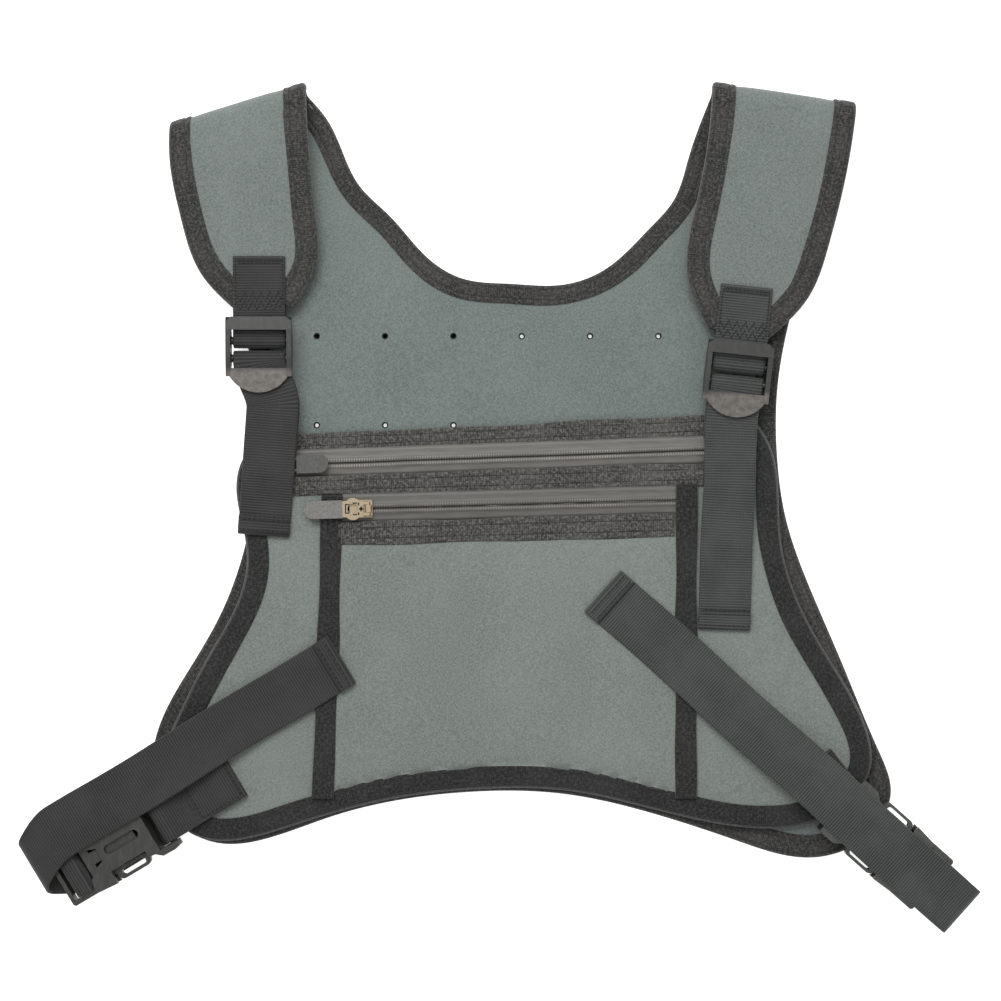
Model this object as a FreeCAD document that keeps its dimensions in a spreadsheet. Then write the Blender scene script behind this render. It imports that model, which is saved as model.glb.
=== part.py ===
import FreeCAD, Part
import math
import os
import Sketcher

Vector = FreeCAD.Vector

# Sport harness vest laid flat: +X to the wearer's left strap side as it lies, +Y to the shoulders, +Z up.
# The origin is on the floor, under the middle of the laid vest.  All sizes are in millimetres.

doc = FreeCAD.newDocument("harness_vest")

# driving dimensions
DRIVING = [
    ("panel_width", 341.0),      # back panel across the hem, corner to corner
    ("panel_length", 374.0),     # shoulder fold to the lowest point of the hem
    ("neoprene", 3.0),           # thickness of the back panel, straps and pocket front
    ("lining", 1.5),             # thickness of the ply behind the pockets
    ("pocket_ply", 2.0),         # thickness of the centre pocket
    ("tape", 0.6),               # binding tape thickness
    ("binding", 11.0),           # visible width of a folded binding
    ("lay_gap", 0.1),            # room between plies that only lie on each other
    ("hole_diameter", 2.4),      # punched ventilation holes
    ("hole_pitch_across", 33.0),
    ("hole_pitch_along", 43.0),
    ("fold_radius", 6.5),        # centre line radius of the strap at the shoulder fold
    ("webbing_width", 25.0),
    ("waist_width", 26.5),       # the two waist webbings
    ("webbing", 1.5),            # webbing thickness
    ("zip_tape", 0.6),           # zip tape thickness
    ("upper_tape_width", 12.2),
    ("lower_tape_width", 11.6),
    ("coil_width", 5.8),
    ("coil_height", 1.4),
    ("slider_length", 11.0),
    ("slider_width", 8.6),
    ("slider_wall", 1.2),
    ("pull_thickness", 1.6),
    ("lock_length", 36.4),
    ("rail_width", 2.3),         # side rail of a ladder lock
    ("bar_diameter", 3.8),       # round bars that the webbing turns on
    ("bar_spacing", 8.5),
    ("rim_length", 6.2),         # top rim of a ladder lock
    ("tab_length", 11.7),        # thumb tab of a ladder lock
    ("cover_thickness", 2.0),    # thickness of the rim and of the tab
    ("turn_gap", 0.3),           # room between a bar and the webbing round it
    ("rim_gap", 2.2),            # room that lets the lock tilt under its rim
    ("buckle_width", 33.0),
    ("buckle_height", 9.6),
    ("shell", 1.8),              # wall of the buckle's socket
    ("running_gap", 0.3),        # room round the plug inside the socket
    ("arm_width", 2.4),
    ("arm_slot", 3.4),           # slot in the socket's side that the arms slide out through
]

sheet = doc.addObject("Spreadsheet::Sheet", "dims")
for row, (alias, value) in enumerate(DRIVING, 1):
    sheet.set("A%d" % row, alias)
    sheet.set("B%d" % row, str(value))
    sheet.setAlias("B%d" % row, alias)
doc.recompute()


def size(alias):
    return float(sheet.get(alias))


# pattern
# The outlines are cut patterns for the base size, graded across and along by the two panel sizes.
BASE_WIDTH = 341.0
BASE_LENGTH = 374.0
GRADE_ACROSS = size("panel_width") / BASE_WIDTH
GRADE_ALONG = size("panel_length") / BASE_LENGTH

BACK_SIDE = [(-151, 187), (-147, 155), (-138, 122), (-127, 92), (-118, 60), (-116, 35), (-118, 8),
             (-124, -22), (-135, -52), (-151, -80), (-165, -107), (-168, -128), (-158, -151),
             (-136, -163), (-110, -160), (-81, -150), (-48, -142), (-10, -138), (29, -139),
             (75, -149), (115, -162), (150, -170), (177, -160), (189, -138), (183, -118),
             (165, -75), (150, -40), (138, -5), (134, 24), (134, 55), (140, 90), (150, 127),
             (158, 160), (163, 192)]
NECK = [(-93, 198), (-83, 186), (-68, 155), (-53, 140), (-36, 121), (-18, 110), (5, 107.5),
        (30, 107), (50, 114), (72, 134), (84, 148), (91, 168), (102, 198)]
FRONT_CORNERS = (-112, 120)      # ends of the front panel's top edge
FRONT_SIDE = [(-123, 24), (-127, 10), (-123, -14), (-122, -28), (-129, -52),
              (-141, -73), (-155, -101), (-163, -122), (-162, -142), (-146, -159), (-128, -161),
              (-100, -154), (-70, -145), (-40, -139), (-5, -136), (32, -137), (70, -145), (105, -153),
              (135, -155), (163, -146), (178, -128), (174, -101), (157, -71), (142, -42),
              (135, -14), (134, 8), (130, 29)]
LEFT_STRAP_OUTER = [(-158, 187), (-158, 165), (-153, 138), (-143, 112), (-126.5, 93.5)]
LEFT_STRAP_INNER = [(-93, 198), (-91, 165), (-88, 135), (-88, 115), (-100, 93.5)]
RIGHT_STRAP_OUTER = [(171, 192), (166, 160), (158, 126), (148, 100), (128.5, 80)]
RIGHT_STRAP_INNER = [(102, 198), (98, 165), (92, 136), (90, 110), (101, 83.5)]


def graded(points):
    return [Vector(x * GRADE_ACROSS, y * GRADE_ALONG, 0) for x, y in points]


def spline(points):
    curve = Part.BSplineCurve()
    curve.interpolate(points)
    return curve


def inset(curve, distance, count=60):
    """Curve beside another at a distance to its left, from evenly spaced stations."""
    first, last = curve.FirstParameter, curve.LastParameter
    stations = []
    for step in range(count + 1):
        at = first + (last - first) * step / count
        along = curve.tangent(at)[0]
        stations.append(curve.value(at) + Vector(-along.y, along.x, 0) * distance)
    return spline(stations)


def strip_face(outer, inner):
    """Flat face between two curves that run the same way."""
    ends = [Part.makeLine(outer.EndPoint, inner.EndPoint), Part.makeLine(inner.StartPoint, outer.StartPoint)]
    return Part.Face(Part.Wire(Part.__sortEdges__([outer.toShape(), inner.toShape()] + ends)))


def prism(face, bottom, top):
    lifted = face.translated(Vector(0, 0, bottom))
    return lifted.extrude(Vector(0, 0, top - bottom))


# heights of the plies
TAPE = size("tape")
BACK_TOP = size("neoprene")
BACK_BOUND_TOP = BACK_TOP + TAPE
LINING_BOUND = BACK_BOUND_TOP + size("lay_gap")
LINING_BOTTOM = LINING_BOUND + TAPE
FRONT_BOTTOM = LINING_BOTTOM + size("lining")
FRONT_TOP = FRONT_BOTTOM + size("neoprene")
FRONT_BOUND_TOP = FRONT_TOP + TAPE
POCKET_TOP = FRONT_TOP + size("pocket_ply")
POCKET_BOUND_TOP = POCKET_TOP + TAPE


# helpers for document objects
def feature(label, shape, placement=None):
    made = doc.addObject("Part::Feature", label)
    made.Shape = shape
    if placement is not None:
        made.Placement = placement
    return made


def new_body(label):
    made = doc.addObject("PartDesign::Body", label)
    made.Label = label
    return made


def sketch_on(body, role, name, lift=None):
    made = body.newObject("Sketcher::SketchObject", name)
    plane = [item for item in body.Origin.OriginFeatures if item.Role == role][0]
    made.AttachmentSupport = (plane, [""])
    made.MapMode = "FlatFace"
    if lift is not None:
        made.setExpression(".AttachmentOffset.Base.z", lift)
    return made


def loop_of(sketch, corners):
    """Closed loop of straight sides through the given corners."""
    count = len(corners)
    first = None
    for index in range(count):
        here = Vector(corners[index][0], corners[index][1], 0)
        there = Vector(corners[(index + 1) % count][0], corners[(index + 1) % count][1], 0)
        line = sketch.addGeometry(Part.LineSegment(here, there))
        first = line if first is None else first
        if line > first:
            sketch.addConstraint(Sketcher.Constraint("Coincident", line - 1, 2, line, 1))
    sketch.addConstraint(Sketcher.Constraint("Coincident", first + count - 1, 2, first, 1))


def edges_of(sketch, shapes):
    for shape in shapes:
        sketch.addGeometry(shape)


def slot_loop(sketch, centre, length, width):
    """Round-ended slot along the sketch's X axis."""
    radius = width / 2
    reach = length / 2 - radius
    x, y = centre
    sketch.addGeometry(Part.LineSegment(Vector(x - reach, y + radius, 0), Vector(x + reach, y + radius, 0)))
    sketch.addGeometry(Part.LineSegment(Vector(x + reach, y - radius, 0), Vector(x - reach, y - radius, 0)))
    for sign, start in ((1, -90), (-1, 90)):
        circle = Part.Circle(Vector(x + sign * reach, y, 0), Vector(0, 0, 1), radius)
        arc = Part.ArcOfCircle(circle, math.radians(start), math.radians(start + 180))
        sketch.addGeometry(arc)


def pad(body, sketch, length, midplane=False, reversed_way=False):
    made = body.newObject("PartDesign::Pad", sketch.Name + "_pad")
    made.Profile = sketch
    made.setExpression("Length", length)
    made.Midplane = midplane
    made.Reversed = reversed_way
    sketch.Visibility = False
    body.Tip = made
    return made


def pocket(body, sketch, length=None, midplane=False, reversed_way=False):
    made = body.newObject("PartDesign::Pocket", sketch.Name + "_pocket")
    made.Profile = sketch
    if length is None:
        made.Type = "ThroughAll"
    else:
        made.setExpression("Length", length)
    made.Midplane = midplane
    made.Reversed = reversed_way
    sketch.Visibility = False
    body.Tip = made
    return made


NODES = {}


def keep(label, item):
    item.Label = label
    NODES[label] = item
    return item


def cut(label, base, tool):
    made = doc.addObject("Part::Cut", label)
    made.Base = base
    made.Tool = tool
    return made


# back panel and its bindings
back_side = spline(graded(BACK_SIDE))
neck = spline(graded(NECK))
FOLD_LINE = {"left": (LEFT_STRAP_OUTER[0], LEFT_STRAP_INNER[0]),
             "right": (RIGHT_STRAP_OUTER[0], RIGHT_STRAP_INNER[0])}
FOLD_BACK = size("fold_radius") + size("neoprene") / 2 + TAPE    # fold's outer reach beyond its centre


def fold_frame(side):
    """Centre and direction of a shoulder's fold line."""
    outer, inner = graded(FOLD_LINE[side])
    across = (inner - outer).normalize() if side == "left" else (outer - inner).normalize()
    left = outer if side == "left" else inner
    return left, across


def beyond_fold(side):
    """Everything past the line where a shoulder's fold starts."""
    left, across = fold_frame(side)
    down = Vector(across.y, -across.x, 0)
    start = left + down * FOLD_BACK - across * 30
    corners = [start, start + across * 125, start + across * 125 - down * 60, start - down * 60]
    return prism(Part.Face(Part.makePolygon(corners + [start])), -5, 40)


def trimmed(solid):
    """Cut a lower ply off where each shoulder fold starts."""
    return solid.cut(beyond_fold("left")).cut(beyond_fold("right"))


def bound_strip(curve, bottom, top, ply_bottom, ply_top):
    """Tape folded over an edge: a strip with the ply's edge held inside it."""
    outer = strip_face(curve, inset(curve, size("binding")))
    inner = strip_face(inset(curve, TAPE), inset(curve, size("binding") + 1))
    return prism(outer, bottom, top).cut(prism(inner, ply_bottom, ply_top))


def panel_body(label, curves, thickness, lift):
    """Flat ply: a pad of the outline that the curves and their closing lines make."""
    body = new_body(label)
    sketch = sketch_on(body, "XY_Plane", label + "_outline", lift)
    count = len(curves)
    for index, curve in enumerate(curves):
        sketch.addGeometry(curve)
        after = curves[(index + 1) % count]
        if (curve.EndPoint - after.StartPoint).Length > 1e-6:
            sketch.addGeometry(Part.LineSegment(curve.EndPoint, after.StartPoint))
    pad(body, sketch, thickness)
    return body


neck_back = spline(list(reversed(graded(NECK))))
back_body = panel_body("back_panel_ply", [back_side, neck_back], "dims.neoprene", "0 mm")

hole_sketch = sketch_on(back_body, "XY_Plane", "holes")
HOLE_ROWS = [(82.0, range(-3, 3)), (39.0, range(-3, 4)), (-4.0, range(-3, 4)), (-47.0, range(-3, 4)),
             (-90.0, range(-3, 5))]
for height, columns in HOLE_ROWS:
    steps_down = (HOLE_ROWS[0][0] - height) / 43.0
    for column in columns:
        x = (10.5 + column * size("hole_pitch_across"))
        y = HOLE_ROWS[0][0] * GRADE_ALONG - steps_down * size("hole_pitch_along")
        circle = Part.Circle(Vector(x, y, 0), Vector(0, 0, 1), size("hole_diameter") / 2)
        number = hole_sketch.addGeometry(circle)
        radius = hole_sketch.addConstraint(Sketcher.Constraint("Radius", number, size("hole_diameter") / 2))
        hole_sketch.setExpression("Constraints[%d]" % radius, "dims.hole_diameter / 2")
pocket(back_body, hole_sketch, midplane=True)
doc.recompute()

edge_shape = trimmed(bound_strip(back_side, 0, BACK_BOUND_TOP, TAPE, BACK_TOP))
neck_shape = trimmed(bound_strip(neck_back, 0, BACK_BOUND_TOP, TAPE, BACK_TOP))
neck_shape = neck_shape.cut(edge_shape)
edge_binding = keep("back_edge_binding", feature("back_edge_binding", edge_shape))
neck_binding = keep("neck_binding", feature("neck_binding", neck_shape))
both_bindings = feature("back_bindings", Part.makeCompound([edge_shape, neck_shape]))
trims = feature("back_trims", Part.makeCompound([beyond_fold("left"), beyond_fold("right")]))
back_cut = cut("back_panel_bound", back_body, both_bindings)
keep("back_panel", cut("back_panel", back_cut, trims))


# bands: flat webbing and folded straps
def band_face(route, thickness):
    """Side view of a band in the XZ plane: straight runs (x, z, bend radius) joined by tangent arcs."""
    points = [Vector(x, 0, z) for x, z, _ in route]
    runs = [(points[i + 1] - points[i]).normalize() for i in range(len(points) - 1)]
    starts, ends, arcs = [points[0]], [], []
    for i in range(1, len(points) - 1):
        turn = math.atan2(runs[i - 1].x * runs[i].z - runs[i - 1].z * runs[i].x, runs[i - 1].dot(runs[i]))
        radius = route[i][2]
        back = radius * math.tan(abs(turn) / 2)
        enter = points[i] - runs[i - 1] * back
        leave = points[i] + runs[i] * back
        side = 1 if turn > 0 else -1
        centre = enter + Vector(-runs[i - 1].z, 0, runs[i - 1].x) * (radius * side)
        arcs.append((centre, radius, side))
        ends.append(enter)
        starts.append(leave)
    ends.append(points[-1])
    edges = []
    corners = []
    for sign in (1, -1):
        offset = [Vector(-run.z, 0, run.x) * (sign * thickness / 2) for run in runs]
        for i in range(len(runs)):
            if (ends[i] - starts[i]).Length > 1e-6:
                edges.append(Part.makeLine(starts[i] + offset[i], ends[i] + offset[i]))
        for i, (centre, radius, side) in enumerate(arcs):
            first = ends[i] + offset[i]
            last = starts[i + 1] + offset[i + 1]
            middle = ((first - centre).normalize() + (last - centre).normalize()).normalize()
            reach = radius - side * sign * thickness / 2
            edges.append(Part.Arc(first, centre + middle * reach, last).toShape())
        corners.append((starts[0] + offset[0], ends[-1] + offset[-1]))
    edges.append(Part.makeLine(corners[0][0], corners[1][0]))
    edges.append(Part.makeLine(corners[0][1], corners[1][1]))
    return Part.Face(Part.Wire(Part.__sortEdges__(edges)))


def band(route, thickness, width):
    """Band of a width, centred on the XZ plane."""
    face = band_face(route, thickness)
    return face.translated(Vector(0, -width / 2, 0)).extrude(Vector(0, width, 0))


def frame(x, y, z, yaw, pitch=0.0):
    turn = FreeCAD.Rotation(Vector(0, 0, 1), yaw).multiply(FreeCAD.Rotation(Vector(0, 1, 0), pitch))
    return FreeCAD.Placement(Vector(x, y, z), turn)


# shoulder straps
WEB = size("webbing")
BAR = size("bar_diameter") / 2
TURN = BAR + size("turn_gap") + WEB / 2              # centre line radius of webbing round a bar
STRAP_REST = 5.0                                      # height of a strap tip's middle over the back binding
TIP_MIDDLE = BACK_BOUND_TOP + STRAP_REST + TAPE + size("neoprene") / 2


def strap_band(side, thickness):
    """The strap's fold and front run in side view, as a wide band along the shoulder."""
    left, across = fold_frame(side)
    down = Vector(across.y, -across.x, 0)
    radius = size("fold_radius")
    low = size("neoprene") / 2 + TAPE
    high = low + 2 * radius
    reach = {"left": 105.0, "right": 118.0}[side] * GRADE_ALONG
    ply = size("neoprene") / 2 + TAPE
    bend = radius + ply
    route = [(bend, low, 0), (ply, low, radius), (ply, high, radius),
             (reach * 0.15, high, 60.0), (reach * 0.62, TIP_MIDDLE, 60.0), (reach + 25, TIP_MIDDLE, 0)]
    face = band_face(route, thickness)
    wide = face.translated(Vector(0, -60, 0)).extrude(Vector(0, 180, 0))
    yaw = math.degrees(math.atan2(down.y, down.x))
    wide.Placement = frame(left.x, left.y, 0, yaw).multiply(wide.Placement)
    return wide


def edge_prism(curve, near_distance, far_distance):
    """Upright strip beside a strap's edge, run on past the fold."""
    direction = curve.tangent(curve.FirstParameter)[0]
    near = inset(curve, near_distance, 24)
    far = inset(curve, far_distance, 24)
    lead = direction * -30
    corners = [near.StartPoint, near.StartPoint + lead, far.StartPoint + lead, far.StartPoint,
               near.StartPoint]
    return prism(strip_face(near, far), -2, 60).fuse(prism(Part.Face(Part.makePolygon(corners)), -2, 60))


def strap(side, outer_points, inner_points):
    outer = spline(graded(outer_points))
    inner = spline(graded(inner_points))
    turn = -1 if side == "right" else 1
    ends = [Part.makeLine(outer.EndPoint, inner.EndPoint)]
    # the outline runs on past the fold, which the band itself ends
    outer_dir = outer.tangent(outer.FirstParameter)[0]
    inner_dir = inner.tangent(inner.FirstParameter)[0]
    outer_top = outer.StartPoint - outer_dir * 30
    inner_top = inner.StartPoint - inner_dir * 30
    ends.append(Part.makeLine(outer_top, outer.StartPoint))
    ends.append(Part.makeLine(inner_top, inner.StartPoint))
    ends.append(Part.makeLine(outer_top, inner_top))
    plan = Part.Face(Part.Wire(Part.__sortEdges__([outer.toShape(), inner.toShape()] + ends)))
    thin = strap_band(side, size("neoprene"))
    thick = strap_band(side, size("neoprene") + 2 * TAPE)
    ply = thin.common(prism(plan, -2, 60))
    tapes = []
    for curve, sign in ((outer, turn), (inner, -turn)):
        strip = edge_prism(curve, 0.0, size("binding") * sign)
        hollow = edge_prism(curve, TAPE * sign, (size("binding") + 1) * sign)
        tapes.append(thick.common(strip).cut(thin.common(hollow)))
        ply = ply.cut(edge_prism(curve, -sign, TAPE * sign))
    return ply, tapes


for side, outer_points, inner_points in (("left", LEFT_STRAP_OUTER, LEFT_STRAP_INNER),
                                         ("right", RIGHT_STRAP_OUTER, RIGHT_STRAP_INNER)):
    ply, tapes = strap(side, outer_points, inner_points)
    keep(side + "_shoulder_strap", feature(side + "_shoulder_strap", ply))
    keep(side + "_strap_outer_binding", feature(side + "_strap_outer_binding", tapes[0]))
    keep(side + "_strap_inner_binding", feature(side + "_strap_inner_binding", tapes[1]))

# front panel plies, bindings and zips
# Seam lines across the front panel: height at the middle, and the angle that the line lies at.
SEAM = {"top_edge": (39.4, 2.6), "upper_tape_top": (29.9, 2.0), "upper_tape_bottom": (17.5, 2.0),
        "lower_tape_top": (7.2, 1.5), "lower_tape_bottom": (-5.6, 1.5), "pocket_seam": (-17.0, 1.5)}
POCKET_LEFT = ((-85.5, 8.0), (-90.2, -146.0))
POCKET_RIGHT = ((94.8, 12.0), (94.2, -150.0))
SEAM_WIDTH = 10.4


def seam_point(name, x):
    height, angle = SEAM[name]
    return Vector(x * GRADE_ACROSS,
                  height * GRADE_ALONG + x * GRADE_ACROSS * math.tan(math.radians(angle)), 0)


def between(upper, lower, left=-200.0, right=200.0):
    """Flat strip of the front panel between two seam lines."""
    corners = [seam_point(upper, left), seam_point(upper, right), seam_point(lower, right),
               seam_point(lower, left)]
    return Part.Face(Part.makePolygon(corners + [corners[0]]))


front_side = spline([seam_point("top_edge", FRONT_CORNERS[0])] + graded(FRONT_SIDE)
                    + [seam_point("top_edge", FRONT_CORNERS[1])])
top_closing = Part.makeLine(front_side.EndPoint, front_side.StartPoint)
front_inner = inset(front_side, size("binding"))
inner_closing = Part.makeLine(front_inner.EndPoint, front_inner.StartPoint)
inner_face = Part.Face(Part.Wire([front_inner.toShape(), inner_closing]))
inner_region = prism(inner_face, 0, 40)
front_strip = prism(strip_face(front_side, front_inner), LINING_BOUND, FRONT_BOUND_TOP)
ply_edge = inset(front_side, TAPE)
front_hollow = prism(strip_face(ply_edge, inset(front_side, size("binding") + 1)), LINING_BOTTOM, FRONT_TOP)
front_edge = front_strip.cut(front_hollow)
keep("front_edge_binding", feature("front_edge_binding", front_edge))
edge_tool = feature("front_edge_tool", front_edge)

lining_body = panel_body("front_lining_ply", [front_side], "dims.lining", None)
lining_body.Placement = FreeCAD.Placement(Vector(0, 0, LINING_BOTTOM), FreeCAD.Rotation())
top_strip = prism(between("top_edge", "upper_tape_top"), LINING_BOUND, LINING_BOTTOM + size("lining") + TAPE)
top_ply = prism(between("top_edge", "upper_tape_bottom").translated(Vector(0, -TAPE, 0)),
                LINING_BOTTOM, LINING_BOTTOM + size("lining"))
top_ends = prism(Part.Face(Part.Wire([front_side.toShape(), top_closing])), 0, 40)
top_binding = top_strip.common(top_ends).cut(top_ply).cut(front_strip)
top_feature = keep("top_binding", feature("top_binding", top_binding))
lining_tools = feature("lining_tools", Part.makeCompound([front_edge, top_binding]))
keep("front_lining", cut("front_lining", lining_body, lining_tools))

front_body = panel_body("front_panel_ply", [front_side], "dims.neoprene", None)
front_body.Placement = FreeCAD.Placement(Vector(0, 0, FRONT_BOTTOM), FreeCAD.Rotation())
above_opening = [(-250, 0), (250, 0), (250, 90), (-250, 90), (-250, 0)]
opening = prism(Part.Face(Part.makePolygon([seam_point("upper_tape_bottom", x) + Vector(0, lift, 0)
                                            for x, lift in above_opening])), 0, 40)
middle_strip = prism(between("upper_tape_bottom", "lower_tape_top"), FRONT_BOTTOM, FRONT_BOUND_TOP)
middle_ply = prism(between("upper_tape_bottom", "pocket_seam").translated(Vector(0, -TAPE, 0)),
                   FRONT_BOTTOM, FRONT_TOP)
middle_binding = middle_strip.common(inner_region).cut(middle_ply)
keep("middle_binding", feature("middle_binding", middle_binding))
front_tools = feature("front_tools", Part.makeCompound([front_edge, middle_binding, opening]))
keep("front_panel", cut("front_panel", front_body, front_tools))


def pocket_side(ends, shift):
    return [Vector(x * GRADE_ACROSS + shift, y * GRADE_ALONG, 0) for x, y in ends]


def pocket_face(gap):
    left, right = pocket_side(POCKET_LEFT, gap), pocket_side(POCKET_RIGHT, -gap)
    corners = left + [right[1], right[0]]
    return Part.Face(Part.makePolygon(corners + [corners[0]]))


below_edges = [(-250, TAPE), (250, TAPE), (250, 300), (-250, 300), (-250, TAPE)]
below_zip = Part.Face(Part.makePolygon([seam_point("lower_tape_bottom", x) + Vector(0, -drop, 0)
                                        for x, drop in below_edges]))
pocket_ply = prism(pocket_face(TAPE), FRONT_TOP, POCKET_TOP)
pocket_ply = pocket_ply.common(prism(below_zip, 0, 40)).common(inner_region)
keep("centre_pocket", feature("centre_pocket", pocket_ply))
seam_rest = prism(between("lower_tape_top", "top_edge"), 0, 40)
for label, ends, sign in (("left_pocket_binding", POCKET_LEFT, 1),
                          ("right_pocket_binding", POCKET_RIGHT, -1)):
    outer = pocket_side(ends, 0)
    inner = pocket_side(ends, sign * SEAM_WIDTH)
    face = Part.Face(Part.makePolygon([outer[0], outer[1], inner[1], inner[0], outer[0]]))
    tape_strip = prism(face, FRONT_TOP, POCKET_BOUND_TOP).common(inner_region).cut(seam_rest).cut(pocket_ply)
    keep(label, feature(label, tape_strip))
between_seams = prism(pocket_face(SEAM_WIDTH), 0, 40)
lower_strip = prism(between("lower_tape_bottom", "pocket_seam"), FRONT_TOP, POCKET_BOUND_TOP)
keep("lower_binding", feature("lower_binding", lower_strip.common(between_seams).cut(pocket_ply)))

ZIPS = {"upper": (("upper_tape_top", "upper_tape_bottom"), FRONT_BOTTOM, inner_region),
        "lower": (("lower_tape_top", "lower_tape_bottom"), FRONT_TOP, between_seams)}
ZIP_LINE = {"upper": (23.3, 2.0), "lower": (0.4, 1.5)}
for name, (seams, bottom, region) in ZIPS.items():
    tape_top = bottom + size("zip_tape")
    tape_solid = prism(between(seams[0], seams[1]), bottom, tape_top).common(region)
    keep(name + "_zip_tape", feature(name + "_zip_tape", tape_solid))
    height, angle = ZIP_LINE[name]
    coil_box = Part.makeBox(500, size("coil_width"), size("coil_height"),
                            Vector(-250, -size("coil_width") / 2, 0))
    coil_box.Placement = frame(0, height * GRADE_ALONG, tape_top, angle).multiply(coil_box.Placement)
    keep(name + "_zip_coil", feature(name + "_zip_coil", coil_box.common(region)))


# zip sliders and their pulls
SLIDER_FIT = 0.25                # room between the coil and the slider's channel
LUG_HEIGHT = 2.2
PIN_RADIUS = 0.8
PIN_FIT = 0.05
LUG_HALF = 1.8
CHEEK = 1.2
CHEEK_BACK = 0.5                 # the cheeks end just behind the pin, so that they turn clear of the roof
PIVOT = 3.6                      # pivot's distance from the slider's middle


def slider(name, x, pull_length, pull_way):
    """Slider that straddles the coil, with a lug that its pull swings on."""
    bottom = ZIPS[name][1] + size("zip_tape")
    height, angle = ZIP_LINE[name]
    y = height * GRADE_ALONG + x * GRADE_ACROSS * math.tan(math.radians(angle))
    place = frame(x * GRADE_ACROSS, y, bottom + size("lay_gap"), angle)
    channel = size("coil_height") + 0.1
    roof = channel + size("slider_wall")
    pivot_height = roof + LUG_HEIGHT / 2
    body = new_body(name + "_slider_body")
    section = sketch_on(body, "YZ_Plane", name + "_slider_section")
    half, gap = size("slider_width") / 2, size("coil_width") / 2 + SLIDER_FIT
    loop_of(section, [(-half, 0), (-gap, 0), (-gap, channel), (gap, channel), (gap, 0), (half, 0),
                      (half, roof - 0.8), (half - 1.2, roof), (-half + 1.2, roof), (-half, roof - 0.8)])
    pad(body, section, "dims.slider_length", midplane=True)
    lug = sketch_on(body, "XZ_Plane", name + "_slider_lug")
    loop_of(lug, [(PIVOT - 1.7, roof - 0.2), (PIVOT + 1.7, roof - 0.2), (PIVOT + 1.1, roof + LUG_HEIGHT),
                  (PIVOT - 1.1, roof + LUG_HEIGHT)])
    lug_pad = pad(body, lug, "dims.slider_width * %g" % (2 * LUG_HALF / 8.6), midplane=True)
    bore = sketch_on(body, "XZ_Plane", name + "_slider_bore")
    bore.addGeometry(Part.Circle(Vector(PIVOT, pivot_height, 0), Vector(0, 0, 1), PIN_RADIUS + PIN_FIT))
    pocket(body, bore, midplane=True)
    doc.recompute()
    body.Placement = place
    keep(name + "_zip_slider", body)

    pull = new_body(name + "_pull_body")
    pin = sketch_on(pull, "XZ_Plane", name + "_pin")
    pin.addGeometry(Part.Circle(Vector(0, 0, 0), Vector(0, 0, 1), PIN_RADIUS))
    pin_length = 2 * (LUG_HALF + 0.2 + CHEEK)
    pad(pull, pin, "%g mm" % pin_length, midplane=True)
    for side in (-1, 1):
        cheek = sketch_on(pull, "XY_Plane", name + "_cheek%d" % (side + 1), "-dims.pull_thickness / 2")
        near, far = side * (LUG_HALF + 0.2), side * (LUG_HALF + 0.2 + CHEEK)
        loop_of(cheek, [(-CHEEK_BACK, near), (3.4, near), (3.4, far), (-CHEEK_BACK, far)])
        pad(pull, cheek, "dims.pull_thickness")
    plate = sketch_on(pull, "XY_Plane", name + "_plate", "-dims.pull_thickness / 2")
    half = size("slider_width") / 2
    if name == "upper":
        edges_of(plate, [Part.LineSegment(Vector(2.4, -half, 0), Vector(2.4, half, 0)),
                         Part.LineSegment(Vector(2.4, half, 0), Vector(pull_length - 4.3, half, 0)),
                         Part.Arc(Vector(pull_length - 4.3, half, 0), Vector(pull_length, 0, 0),
                                  Vector(pull_length - 4.3, -half, 0)),
                         Part.LineSegment(Vector(pull_length - 4.3, -half, 0), Vector(2.4, -half, 0))])
    else:
        bulge = 5.3
        edges_of(plate, [Part.LineSegment(Vector(2.4, -half + 0.4, 0), Vector(2.4, half - 0.4, 0)),
                         Part.LineSegment(Vector(2.4, half - 0.4, 0), Vector(4.4, half - 0.4, 0)),
                         Part.Arc(Vector(4.4, half - 0.4, 0), Vector(7.4, bulge, 0),
                                  Vector(10.4, half - 0.4, 0)),
                         Part.LineSegment(Vector(10.4, half - 0.4, 0), Vector(12.5, half - 0.4, 0)),
                         Part.LineSegment(Vector(12.5, half - 0.4, 0), Vector(12.5, -half + 0.4, 0)),
                         Part.LineSegment(Vector(12.5, -half + 0.4, 0), Vector(10.4, -half + 0.4, 0)),
                         Part.Arc(Vector(10.4, -half + 0.4, 0), Vector(7.4, -bulge, 0),
                                  Vector(4.4, -half + 0.4, 0)),
                         Part.LineSegment(Vector(4.4, -half + 0.4, 0), Vector(2.4, -half + 0.4, 0))])
    pad(pull, plate, "dims.pull_thickness")
    if name == "lower":
        windows = sketch_on(pull, "XY_Plane", "lower_pull_windows")
        windows.addGeometry(Part.Circle(Vector(7.4, 0, 0), Vector(0, 0, 1), 2.6))
        pocket(pull, windows, midplane=True)
    doc.recompute()
    way = 0 if pull_way > 0 else 180
    pivot_place = place.multiply(FreeCAD.Placement(Vector(PIVOT, 0, pivot_height), FreeCAD.Rotation()))
    pull.Placement = pivot_place.multiply(FreeCAD.Placement(Vector(),
                                                            FreeCAD.Rotation(Vector(0, 0, 1), way)))
    keep(name + "_zip_pull", pull)
    return pull.Placement


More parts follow.
